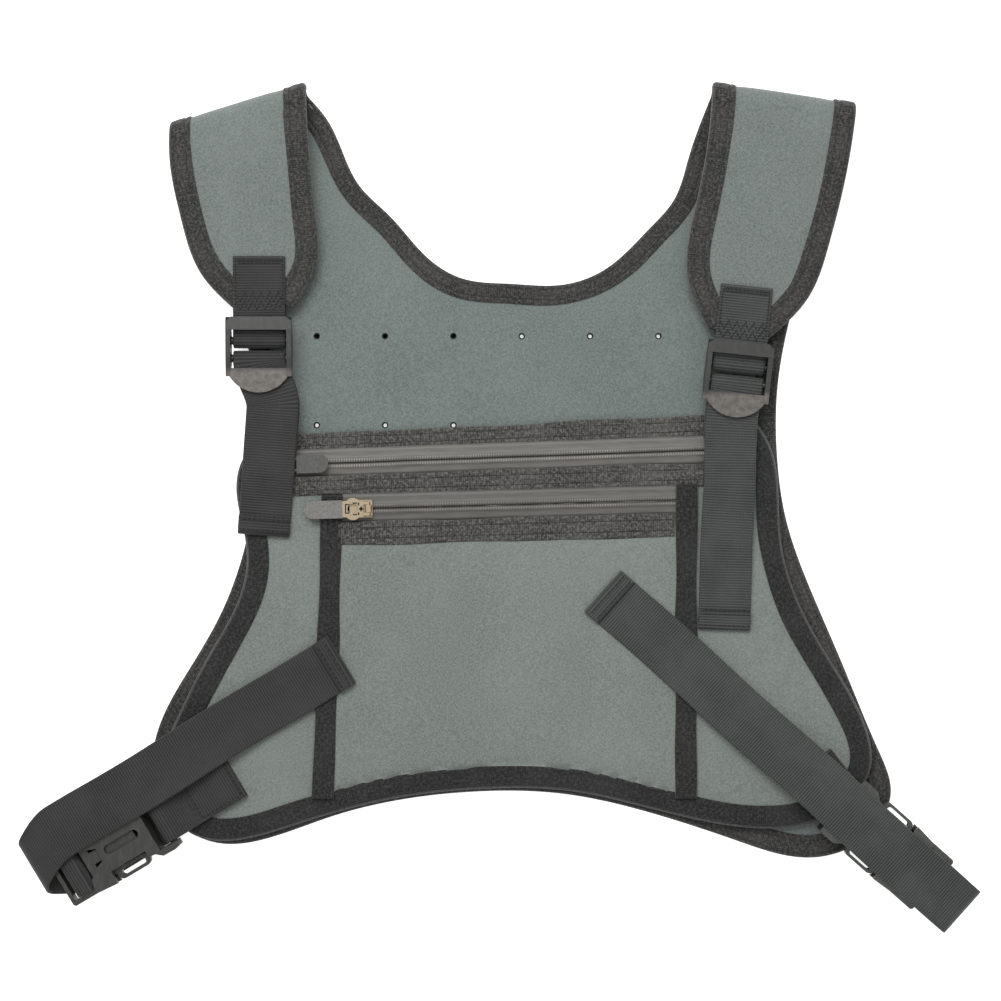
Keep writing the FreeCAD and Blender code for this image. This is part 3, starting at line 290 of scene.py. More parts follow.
def webCloth(name, base, dark, pitch=1.28):  # webbing: bold ribs across, fine threads along, firm selvedges
    s = Shader(name)
    place = s.place(True)
    ribs = s.ribs(place, "X", 1.0 / pitch / 3.18, 0.25)
    picks = s.ribs(place, "Y", 1.0 / 0.85 / 3.18, 0.8)
    flecks = s.grain(place, 1.2, 3.0, 0.7)
    patches = s.grain(place, 0.05, 2.0, 0.5)
    sharp = s.sum(ribs, 1.6, "POWER")
    weave = s.sum(s.sum(sharp, 0.78, "MULTIPLY"), s.sum(picks, 0.22, "MULTIPLY"))
    colour = s.blendColour(weave, dark, base)
    lit = tinted(base, 1.35)
    colour = s.blendColour(s.span(flecks, 0.5, 0.85, 0.0, 0.5),
                           colour, lit)
    colour = s.blendColour(s.span(patches, 0.4, 0.7, 0.0, 0.25),
                           colour, lit)
    normal = s.relief(weave, 0.6, 0.00034)
    normal = s.relief(flecks, 0.25, 0.0002, normal)
    return s.finish(colour, 0.74, normal, Sheen_Weight=0.12, Sheen_Roughness=0.4, Specular_IOR_Level=0.32)


# smooth rubbery face of the zip tapes, scuffed lighter along its middle, with painted shade darkening the slit
# between them
def coatedTape(name, base, dark):
    s = Shader(name)
    place = s.place(True)
    streaks = s.grain(s.stretched(place, (0.06, 0.5, 1)), 1.0, 4.0, 0.6)
    fine = s.grain(place, 2.2, 2.0, 0.6)
    lit = tinted(base, 1.08)
    colour = s.blendColour(s.span(streaks, 0.3, 0.75, 0.0, 1.0), dark, lit)
    across = s.sum(s.node("ShaderNodeSeparateXYZ", {"Vector": place}).outputs["Y"], 0.0, "ABSOLUTE")
    teeth = s.sum(s.ribs(place, "X", 1.0 / 1.22 / 3.18, 0.0), 2.0, "POWER")
    inner = s.span(across, 0.45, 0.85, 0.0, 1.0)
    outer = s.span(across, 1.7, 2.3, 1.0, 0.0)
    shown = s.span(s.grain(place, 0.035, 2.0, 0.5), 0.36, 0.6, 0.25, 0.95)
    ticks = s.sum(s.sum(teeth, s.sum(inner, outer, "MULTIPLY"), "MULTIPLY"), shown, "MULTIPLY")
    colour = s.blendColour(ticks, colour, tinted(base, 2.1))
    # painted shade: the slit between the two tapes is darkened to near black
    slit = s.span(across, 0.16, 0.42, 0.92, 0.0)
    colour = s.blendColour(slit, colour, (0.01, 0.01, 0.01, 1.0))
    normal = s.relief(fine, 0.12, 0.0001)
    normal = s.relief(streaks, 0.3, 0.0004, normal)
    rough = s.span(streaks, 0.3, 0.7, 0.42, 0.60)
    return s.finish(colour, rough, normal, Specular_IOR_Level=0.45)


def mouldedPlastic(name, base, worn, roughness=0.42, scuff=0.35, tab=None):
    s = Shader(name)
    place = s.place(False)
    pores = s.grain(place, 2.4, 3.0, 0.6)
    scuffs = s.grain(s.stretched(place, (0.5, 0.12, 0.5), (0, 0, 0.6)),
                     1.0, 5.0, 0.7)
    marks = s.span(scuffs, 0.45, 0.75, 0.0, scuff)
    colour = s.blendColour(marks, base, worn)
    if tab:                                  # painted highlight: the low end of the piece (the tab) is painted paler, mottled by noise
        length = s.node("ShaderNodeSeparateXYZ",
                        {"Vector": s.node("ShaderNodeTexCoord").outputs["Generated"]}).outputs["Y"]
        lowEnd = s.span(length, 0.27, 0.33, 1.0, 0.0)
        highlightMottle = s.span(s.grain(place, 0.35, 4.0, 0.7), 0.35, 0.65, 0.35, 1.0)
        colour = s.blendColour(s.sum(lowEnd, highlightMottle, "MULTIPLY"), colour, tab)
    rough = s.span(pores, 0.3, 0.7, roughness - 0.06, roughness + 0.1)
    normal = s.relief(pores, 0.18, 0.00012)
    normal = s.relief(scuffs, 0.10, 0.0002, normal)
    return s.finish(colour, rough, normal, Specular_IOR_Level=0.55)


def platedMetal(name, base, dark):
    s = Shader(name)
    place = s.place(False)
    tarnish = s.grain(place, 0.45, 4.0, 0.65)
    fine = s.grain(place, 3.0, 2.0, 0.5)
    cloud = s.span(tarnish, 0.4, 0.7, 0.0, 0.45)
    colour = s.blendColour(cloud, base, dark)
    rough = s.span(tarnish, 0.3, 0.7, 0.24, 0.45)
    return s.finish(colour, rough, s.relief(fine, 0.12, 0.00008), Metallic=0.92)


def softRubber(name, base, dark):
    s = Shader(name)
    place = s.place(False)
    speck = s.grain(place, 1.3, 4.0, 0.75)
    fine = s.grain(place, 4.0, 2.0, 0.6)
    colour = s.blendColour(s.span(speck, 0.35, 0.65, 0.0, 1.0), dark, base)
    return s.finish(colour, 0.6, s.relief(s.sum(speck, fine), 0.3, 0.00015), Specular_IOR_Level=0.4)


neopreneFront = jersey("jerseyFront", tone(129, 134, 130), tone(84, 90, 87))
neopreneStrap = jersey("jerseyStraps", tone(124, 130, 127), tone(78, 85, 83))
neopreneBack = jersey("jerseyBackPanel", tone(121, 128, 125), tone(76, 84, 83))
bindingDark = tapeCloth("bindingTape", tone(60, 59, 58), tone(22, 22, 22))
bindingLight = tapeCloth("bindingTapeWorn", tone(77, 76, 73), tone(28, 28, 27))
bindingHem = tapeCloth("bindingTapeLow", tone(43, 42, 42), tone(14, 14, 14))
webbingDark = webCloth("webbingBlack", tone(56, 55, 55), tone(21, 21, 22))
webbingGrey = webCloth("webbingFaded", tone(70, 71, 71), tone(28, 29, 30))
zipTape = coatedTape("coatedZipTape", tone(98, 96, 91), tone(78, 76, 72))
zipTapeLow = coatedTape("coatedZipTapeLow", tone(87, 85, 81), tone(69, 67, 63))
bucklePlastic = mouldedPlastic("bucklePlastic", tone(46, 46, 44), tone(84, 83, 79), 0.36, 0.35)
# the last colour is the tab's painted highlight
lockPlastic = mouldedPlastic("lockPlastic", tone(33, 33, 32), tone(62, 60, 57), 0.36, 0.5, tone(98, 92, 86))
giltMetal = platedMetal("giltMetal", tone(180, 164, 138), tone(70, 60, 46))
darkMetal = platedMetal("darkMetal", tone(70, 70, 70), tone(28, 28, 28))
pullRubber = softRubber("pullRubber", tone(120, 118, 114), tone(84, 83, 80))
tabRubber = softRubber("darkPullRubber", tone(86, 86, 85), tone(56, 56, 56))
threadDark = tapeCloth("sewingThread", tone(64, 63, 62), tone(28, 28, 28), 0.6, 0.5)
# near-black painted shade for needle holes, the walls and floors of punched holes and the pull's cut-outs
holeShade = softRubber("holeShade", tone(18, 18, 19), tone(10, 10, 11))
print("materials ready", len(madeMaterials))


# cloth builders
def distanceInside(points, outline):         # signed distance to a closed outline, positive inside
    dense = evenly(np.vstack([outline, outline[:1]]), 1.0)
    a, b = dense[:-1], dense[1:]
    far = np.empty(len(points))
    inside = np.zeros(len(points), bool)
    for start in range(0, len(points), 2000):
        p = points[start:start + 2000]
        far[start:start + 2000] = np.sqrt(((p[:, None, :] - a[None, :, :]) ** 2).sum(2).min(1))
        y = p[:, 1][:, None]
        crossing = (a[:, 1][None] > y) != (b[:, 1][None] > y)
        rise = np.where(np.abs(b[:, 1] - a[:, 1]) < 1e-9, 1e-9, b[:, 1] - a[:, 1])
        xAt = a[:, 0][None] + (y - a[:, 1][None]) / rise[None] * (b[:, 0] - a[:, 0])[None]
        inside[start:start + 2000] = (crossing & (p[:, 0][:, None] < xAt)).sum(1) % 2 == 1
    return np.where(inside, far, -far)


# soft flat ply: fine grid cut to its outline, crowned between seams
def panelPly(name, outline, ply, material):
    stepX, stepY = ply.get("grid", (2.0625, 2.047619))
    startX, startY = ply.get("gridFrom", (10.5, 82.0))
    lowX, lowY = outline.min(0) - 3
    highX, highY = outline.max(0) + 3
    firstI, lastI = math.floor((lowX - startX) / stepX), math.ceil((highX - startX) / stepX)
    firstJ, lastJ = math.floor((lowY - startY) / stepY), math.ceil((highY - startY) / stepY)
    xs = startX + np.arange(firstI, lastI + 1) * stepX
    ys = startY + np.arange(firstJ, lastJ + 1) * stepY
    gx, gy = np.meshgrid(xs, ys, indexing="ij")
    flat = np.stack([gx.ravel(), gy.ravel()], axis=1)
    depth = distanceInside(flat, outline).reshape(gx.shape)
    keep = depth > ply.get("margin", 2.2)
    cells = keep[:-1, :-1] & keep[1:, :-1] & keep[:-1, 1:] & keep[1:, 1:]
    holeAt = {}
    for hx, hy, through in ply.get("holes", []):
        i, j = int(round((hx - xs[0]) / stepX)), int(round((hy - ys[0]) / stepY))
        if 1 < i < len(xs) - 2 and 1 < j < len(ys) - 2 and depth[i, j] > 6:
            holeAt[(i, j)] = through
            cells[i - 1:i + 1, j - 1:j + 1] = False
    seam = ply["seam"]                       # width that the bindings cover
    swell = smoothStep((depth - seam + 2) / ply["shoulder"])
    top = ply["top"] - ply["pinch"] * (1 - smoothStep((depth - seam + 4) / 9.0)) + ply["crown"] * swell
    top = top + swell * wander(gx, gy, ply["ripple"], ply["rippleSize"], ply.get("seed", 0))
    if ply.get("pucker", 0) > 0:             # little gathers along the seams
        beside = np.exp(-((depth - seam - 1.5) / 4.0) ** 2)
        top = top + ply["pucker"] * beside * wander(gx, gy, 1.0, 13.0, 3.1)
    low = np.full(gx.shape, float(ply["bottom"]))
    used = np.zeros(gx.shape, bool)
    used[:-1, :-1] |= cells
    used[1:, :-1] |= cells
    used[:-1, 1:] |= cells
    used[1:, 1:] |= cells
    full = np.zeros(gx.shape, int)
    full[:-1, :-1] += cells
    full[1:, :-1] += cells
    full[:-1, 1:] += cells
    full[1:, 1:] += cells
    # the cut edge is drawn onto its line
    rim = used & (full < 4) & (depth < ply.get("margin", 2.2) + 3.2)
    slopeX, slopeY = np.gradient(depth, stepX, stepY)
    steep = np.maximum(np.hypot(slopeX, slopeY), 0.6)
    pull = np.where(rim, depth - ply.get("margin", 2.2), 0.0)
    gx, gy = gx - pull * slopeX / steep ** 2, gy - pull * slopeY / steep ** 2
    if ply.get("tuck"):                      # edges caught under a binding are pressed down towards it
        top = top - ply["tuck"] * (1 - smoothStep((depth - ply.get("margin", 2.2)) / 6.0))
    verts, faces, number = [], [], {}
    lined = []

    def corner(i, j, level):
        key = (i, j, level)
        if key not in number:
            number[key] = len(verts)
            verts.append((gx[i, j], gy[i, j], top[i, j] if level else low[i, j]))
        return number[key]
    for i, j in zip(*np.nonzero(cells)):
        faces.append([corner(i, j, 1), corner(i + 1, j, 1), corner(i + 1, j + 1, 1), corner(i, j + 1, 1)])
        faces.append([corner(i, j, 0), corner(i, j + 1, 0), corner(i + 1, j + 1, 0), corner(i + 1, j, 0)])
    around = [(-1, -1), (0, -1), (1, -1), (1, 0), (1, 1), (0, 1), (-1, 1), (-1, 0)]
    for (i, j), through in holeAt.items():
        rimHeight, radius = top[i, j], ply["holeRadius"]
        rings = []
        for grow, height in ((1.30, rimHeight + 0.02), (1.0, rimHeight - 0.12), (0.74, rimHeight - 0.5),
                             (0.72, low[i, j] + 0.5), (1.0, low[i, j])):
            ring = []
            for k in range(16):
                angle = math.radians(-135 + k * 22.5)
                ring.append(len(verts))
                verts.append((gx[i, j] + math.cos(angle) * radius * grow,
                              gy[i, j] + math.sin(angle) * radius * grow, height))
            rings.append(ring)
        for level, ring, flip in ((1, rings[0], False), (0, rings[-1], True)):
            for k in range(8):
                a = corner(i + around[k][0], j + around[k][1], level)
                b = corner(i + around[(k + 1) % 8][0], j + around[(k + 1) % 8][1], level)
                one, two, three = ring[2 * k], ring[2 * k + 1], ring[(2 * k + 2) % 16]
                for face in ([a, two, one], [a, b, two], [b, three, two]):
                    faces.append(face[::-1] if flip else face)
        for upper, lower in zip(rings[:-1], rings[1:]):
            for k in range(16):
                lined.append(len(faces))
                faces.append([upper[k], upper[(k + 1) % 16], lower[(k + 1) % 16], lower[k]])
        # a blind hole gets a floor in the painted shade material
        if not through:
            lined.append(len(faces))
            faces.append(rings[3][:])
    edge = {}
    for face in faces:
        for k in range(len(face)):
            a, b = face[k], face[(k + 1) % len(face)]
            if (b, a) in edge:
                del edge[(b, a)]
            else:
                edge[(a, b)] = True
    partner = {}
    for (i, j, level), n in number.items():
        partner[n] = number.get((i, j, 1 - level))
    for (a, b) in list(edge):
        if partner.get(a) is not None and partner.get(b) is not None and verts[a][2] > verts[partner[a]][2]:
            faces.append([b, a, partner[a], partner[b]])
    made = addMesh(name, np.array(verts), faces, material)
    # hole walls and blind-hole floors take the painted shade material
    made.data.materials.append(holeShade)
    for k in lined:
        made.data.polygons[k].material_index = 1
    return made


def wrapTape(name, edge, inward, up, tape, material):   # folded tape sewn over an edge
    w, half, thick = tape["width"], tape["half"], tape["thick"]
    dip, roll = tape.get("dip", 0.35), tape.get("roll", 0.9)
    outer = [(w, half - 0.30), (w - 0.35, half - 0.02), (w - 1.6, half + 0.02), (w - 2.7, half - dip),
             (w - 3.8, half + 0.0), (w * 0.45, half + 0.16), (w * 0.28, half + 0.02), (w * 0.2, half - 0.14),
             (w * 0.13, half - 0.05), (roll, half - 0.35), (roll * 0.35, half * 0.62), (0.0, 0.0)]
    outer += [(q, -h) for q, h in reversed(outer[:-1])]
    inner = [(w - 0.1, -(half - thick)), (w * 0.5, -(half - thick)), (thick + 0.5, -(half - thick - 0.05)),
             (thick, 0.0), (thick + 0.5, half - thick - 0.05), (w * 0.5, half - thick),
             (w - 0.1, half - thick - 0.1)]
    section = np.array(outer + inner)
    along = np.concatenate([[0], np.cumsum(np.linalg.norm(np.diff(edge, axis=0), axis=1))])
    rings, uvs = [], []
    reach = np.concatenate([[0], np.cumsum(np.linalg.norm(np.diff(section, axis=0), axis=1))])
    wobble = wander(along, along * 0 + 11, tape.get("wobble", 0.22), 47.0, tape.get("seed", 0.0))
    lift = wander(along, along * 0 + 3, tape.get("lift", 0.12), 23.0, tape.get("seed", 0.0) + 1)
    gather = 0.07 * np.sin(along / 2.8 * 2 * math.pi)
    for k in range(len(edge)):
        q = section[:, 0].copy()
        q = np.where(q > w * 0.6, q + wobble[k], q)
        faceSide = np.sign(section[:, 1]) * (np.abs(section[:, 1]) > half * 0.5)
        alongSeam = np.exp(-((q - w + 2.7) / 1.6) ** 2)
        h = section[:, 1] + faceSide * (lift[k] + gather[k] * alongSeam)
        rings.append(edge[k][None] + inward[k][None] * q[:, None] + up[k][None] * h[:, None])
        uvs.append(np.stack([np.full(len(section), along[k]), reach], axis=1))
    verts, faces = sweep(rings)
    obj = addMesh(name, verts, faces, material, uvs=np.concatenate(uvs))
    return obj


# tape laid flat between two seam lines
def flatTape(name, upper, lower, z, tape, material):
    upper, lower = np.asarray(upper, float), np.asarray(lower, float)
    width = np.linalg.norm(upper[0] - lower[0])
    count = len(upper)
    along = np.concatenate([[0], np.cumsum(np.linalg.norm(np.diff(upper, axis=0), axis=1))])
    # (share of the width, height) from the upper edge to the lower edge
    profile = tape["profile"]
    rings, uvs = [], []
    edgeA = wander(along, along * 0, tape.get("wobble", 0.4), 61.0, tape.get("seed", 1.0))
    edgeB = wander(along, along * 0 + 9, tape.get("wobble", 0.4), 53.0, tape.get("seed", 1.0) + 2)
    swell = wander(along, along * 0 + 5, tape.get("lift", 0.15), 21.0, tape.get("seed", 1.0) + 4)
    for k in range(count):
        a, b = upper[k], lower[k]
        way = (b - a) / np.linalg.norm(b - a)
        ring = []
        for share, height in profile:
            shift = edgeA[k] * (1 - share) + edgeB[k] * share
            pos = a + (b - a) * share + way * shift
            ring.append((pos[0], pos[1], z + height + swell[k] * math.sin(share * math.pi)))
        for share in (1.0, 0.0):
            pos = a + (b - a) * share + way * (edgeA[k] * (1 - share) + edgeB[k] * share)
            ring.append((pos[0], pos[1], z + tape.get("base", -0.6)))
        rings.append(ring)
        uvs.append([(along[k], share * width) for share, _ in profile] + [(along[k], width), (along[k], 0)])
    verts, faces = sweep(rings)
    return addMesh(name, verts, faces, material, uvs=np.array(uvs).reshape(-1, 2))


class Threads:                               # stitches of one body gathered in a mesh
    def __init__(self):
        self.verts, self.faces = [], []
        self.holeVerts, self.holeFaces = [], []

    def blob(self, verts, faces, centre, along, across, up, length, wide, high, around=6):
        rows = [(-0.5, 0.25), (-0.3, 0.85), (0.0, 1.0), (0.3, 0.85), (0.5, 0.25)]
        start = len(verts)
        for share, grow in rows:
            for k in range(around):
                angle = 2 * math.pi * k / around
                verts.append(centre + along * length * share + across * wide * grow * math.cos(angle)
                             + up * high * grow * math.sin(angle))
        for r in range(len(rows) - 1):
            for k in range(around):
                n = (k + 1) % around
                faces.append((start + r * around + k, start + r * around + n, start + (r + 1) * around + n,
                              start + (r + 1) * around + k))
        faces.append(tuple(start + k for k in reversed(range(around))))
        faces.append(tuple(start + (len(rows) - 1) * around + k for k in range(around)))

    def row(self, line, ups, sewing):        # a row of stitches with the needle holes between them
        line = np.asarray(line, float)
        ups = np.asarray(ups, float)
        along = np.concatenate([[0], np.cumsum(np.linalg.norm(np.diff(line, axis=0), axis=1))])
        pitch = sewing["pitch"]
        for s in np.arange(pitch / 2, along[-1] - pitch / 2, pitch):
            s += random.uniform(-0.08, 0.08) * pitch
            here = np.array([np.interp(s, along, line[:, k]) for k in range(3)])
            ahead = np.array([np.interp(s + 0.4, along, line[:, k]) for k in range(3)])
            up = np.array([np.interp(s, along, ups[:, k]) for k in range(3)])
            way = ahead - here
            if np.linalg.norm(way) < 1e-6:
                continue
            way /= np.linalg.norm(way)
            up = up - way * (up @ way)
            up /= np.linalg.norm(up)
            side = np.cross(up, way)
            tilt = random.uniform(-0.09, 0.09) + sewing.get("slant", 0.0)
            run = way * math.cos(tilt) + side * math.sin(tilt)
            off = np.cross(up, run)
            self.blob(self.verts, self.faces, here + up * sewing.get("rise", 0.0), run, off, up,
                      pitch * 0.80, sewing["wide"], sewing["wide"] * 0.75)
            # needle holes: small blobs in the near-black painted shade material
            if sewing.get("holes", True):
                self.blob(self.holeVerts, self.holeFaces,
                          here + way * pitch * 0.5 + up * (sewing.get("rise", 0.0) - 0.02), run, off,
                          up, 0.85, 0.40, 0.16)

    def make(self, name, body="root"):
        addMesh(name, np.array(self.verts), self.faces, threadDark, body)
        if self.holeVerts:
            addMesh(name + "_needle_holes", np.array(self.holeVerts), self.holeFaces, holeShade, body)


# the vest's pattern
backSide = [(-151, 187), (-147, 155), (-138, 122), (-127, 92), (-118, 60), (-116, 35), (-118, 8),
            (-124, -22), (-135, -52), (-151, -80), (-165, -107), (-168, -128), (-158, -151),
            (-136, -163), (-110, -160), (-81, -150), (-48, -142), (-10, -138), (29, -139),
            (75, -149), (115, -162), (150, -170), (177, -160), (189, -138), (183, -118),
            (165, -75), (150, -40), (138, -5), (134, 24), (134, 55), (140, 90), (150, 127),
            (158, 160), (163, 192)]
neckLine = [(-93, 198), (-83, 186), (-68, 155), (-53, 140), (-36, 121), (-18, 110), (5, 107.5),
            (30, 107), (50, 114), (72, 134), (84, 148), (91, 168), (102, 198)]
frontSide = [(-123, 24), (-127, 10), (-123, -14), (-122, -28), (-129, -52), (-141, -73), (-155, -101),
             (-163, -122), (-162, -142), (-146, -159), (-128, -161), (-100, -154), (-70, -145),
             (-40, -139), (-5, -136), (32, -137), (70, -145), (105, -153), (135, -155), (163, -146),
             (178, -128), (174, -101), (157, -71), (142, -42), (135, -14), (134, 8), (130, 29)]
seamLines = {"topEdge": (39.0, 2.7), "upperTapeTop": (29.9, 2.0), "upperTapeBottom": (17.5, 2.0),
             "lowerTapeTop": (7.2, 1.5), "lowerTapeBottom": (-5.6, 1.5), "pocketSeam": (-17.0, 1.5),
             "upperZip": (23.3, 2.0), "lowerZip": (0.4, 1.5)}
pocketSides = {"left": ((-85.5, 8.0), (-90.2, -146.0), 1), "right": ((94.8, 12.0), (94.2, -150.0), -1)}
seamWidth = 10.4
bindingWidth = 11.0
straps = {"left": {"outer": [(-158, 184.5), (-158, 165), (-153, 138), (-144.2, 112.5), (-126.5, 93.5)],
                   "inner": [(-93, 204), (-91, 165), (-88, 135), (-88, 115), (-100, 93.5)], "reach": 105.0},
          "right": {"outer": [(171, 194), (166, 160), (158, 126), (148, 100), (128.5, 80)],
                    "inner": [(102, 204), (98, 165), (92, 136), (90, 110), (101, 83.5)], "reach": 118.0}}
foldRadius = 6.5
strapTip = 10.7                              # middle height of a strap's tip


def seamAt(name, x):
    level, angle = seamLines[name]
    return (x, level + x * math.tan(math.radians(angle)))


def flat3(line, z):
    line = np.asarray(line, float)
    return np.column_stack([line, np.full(len(line), float(z))])


def upright(count):
    return np.tile([0.0, 0.0, 1.0], (count, 1))


backEdge = throughPoints(backSide, 1.5)
neckEdge = throughPoints(list(reversed(neckLine)), 1.5)
frontEdge = throughPoints([seamAt("topEdge", -112)] + frontSide + [seamAt("topEdge", 120)], 1.5)


def foldFrame(side):                         # start, direction along the fold and direction down the strap
    outer, inner = (np.array(straps[side][k][0], float) for k in ("outer", "inner"))
    across = inner - outer if side == "left" else outer - inner
    across /= np.linalg.norm(across)
    start = outer if side == "left" else inner
    return start, across, np.array([across[1], -across[0]])


foldBack = foldRadius + 2.1


def beforeFold(line, side, slack=0.0):       # the points of a lower edge that lie short of the strap's fold
    start, across, down = foldFrame(side)
    drop = (np.asarray(line)[:, :2] - start) @ down
    return drop > foldBack - slack


sewing = {"binding": {"pitch": 2.8, "wide": 0.24, "rise": 0.0},
          "web": {"pitch": 2.3, "wide": 0.34, "rise": 0.07}}
threads = Threads()

# back panel
holePitch = 33.0
holeRows = [(82.0, range(-3, 3)), (39.0, range(-3, 4)), (-4.0, range(-3, 4)), (-47.0, range(-3, 4)),
            (-90.0, range(-3, 5))]
darkHoles = {(82.0, -3), (82.0, -2), (82.0, -1)}     # these three are punched only part of the way
coveredHole = (39.0, 0)                      # the top tape lies over this one
backPly = {"bottom": 0.05, "top": 3.0, "pinch": 0.35, "crown": 0.25, "ripple": 0.32, "rippleSize": 95.0,
           "seam": 11.0,
           "shoulder": 26.0, "pucker": 0.16, "holeRadius": 1.25,
           "holes": [(10.5 + c * holePitch, y, (y, c) not in darkHoles)
                     for y, columns in holeRows for c in columns if (y, c) != coveredHole]}
backLow = backEdge[beforeFold(backEdge, "left", 0.6) & beforeFold(backEdge, "right", 0.6)]
neckLow = neckEdge[beforeFold(neckEdge, "left", 0.6) & beforeFold(neckEdge, "right", 0.6)]
backOutline = np.vstack([backLow, neckLow])
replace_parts(panelPly("back_panel_cloth", backOutline, backPly, neopreneBack), "back_panel")

edgeTape = {"width": bindingWidth, "half": 1.8, "thick": 0.6, "dip": 0.40, "wobble": 0.30, "seed": 0.4}


def bindFlat(name, line, middle, tape, material, *nodes):
    inward = np.column_stack([leftOf(line), np.zeros(len(line))])
    obj = wrapTape(name, flat3(line, middle), inward, upright(len(line)), tape, material)
    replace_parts(obj, *nodes)
    for inset in (tape["width"] - 2.7, tape["width"] * 0.2):
        row = flat3(line + leftOf(line) * inset, middle + tape["half"] - (0.30 if inset > 4 else 0.10))
        threads.row(row, upright(len(line)), sewing["binding"])
    return obj


bindFlat("back_edge_tape", backLow, 1.8, edgeTape, bindingDark, "back_edge_binding")
neckTape = dict(edgeTape, width=9.6, wobble=0.35, seed=2.2)
bindFlat("neck_tape", neckLow, 1.8, neckTape, bindingDark, "neck_binding")
print("back panel made")

# shoulder straps
strapPly = {"thick": 3.0, "across": 26, "crown": 0.35, "ripple": 0.22, "seed": {"left": 1.7, "right": 4.2}}
strapTape = {"width": bindingWidth, "half": 2.1, "thick": 0.6, "dip": 0.42, "wobble": 0.35}


def strapRoute(side):                        # side view of the fold and the front run: distance down, height
    low = 2.1
    high = low + 2 * foldRadius
    reach = straps[side]["reach"]
    return routeLine([(foldBack + 4.0, low, 0), (2.1, low, foldRadius), (2.1, high, foldRadius),
                      (reach * 0.15, high, 60.0), (reach * 0.62, strapTip, 60.0),
                      (reach + 25, strapTip, 0)], 1.5)


# a strap's cut edge as offset along the fold for a distance down it
def strapEdge(side, which):
    start, across, down = foldFrame(side)
    line = throughPoints(straps[side][which], 1.0)
    way = headings(line)[0]
    line = np.vstack([line[0] - way * np.arange(30, 0, -1)[:, None], line])
    local = line - start
    return (local @ down), (local @ across), line


def foldEdge(side, which, drop, z, edges):    # under the fold the inner edge runs on into the neck line
    own = np.interp(drop, edges[which][0], edges[which][1])
    if which == "outer" or z > 2.1 + foldRadius:
        return own
    start, across, down = foldFrame(side)
    end = neckLine[:4] if side == "left" else neckLine[::-1][:4]
    local = throughPoints(end, 1.0) - start
    neck = np.interp(drop, local @ down, local @ across)
    share = smoothStep((z - 2.1) / foldRadius)
    return neck * (1 - share) + own * share


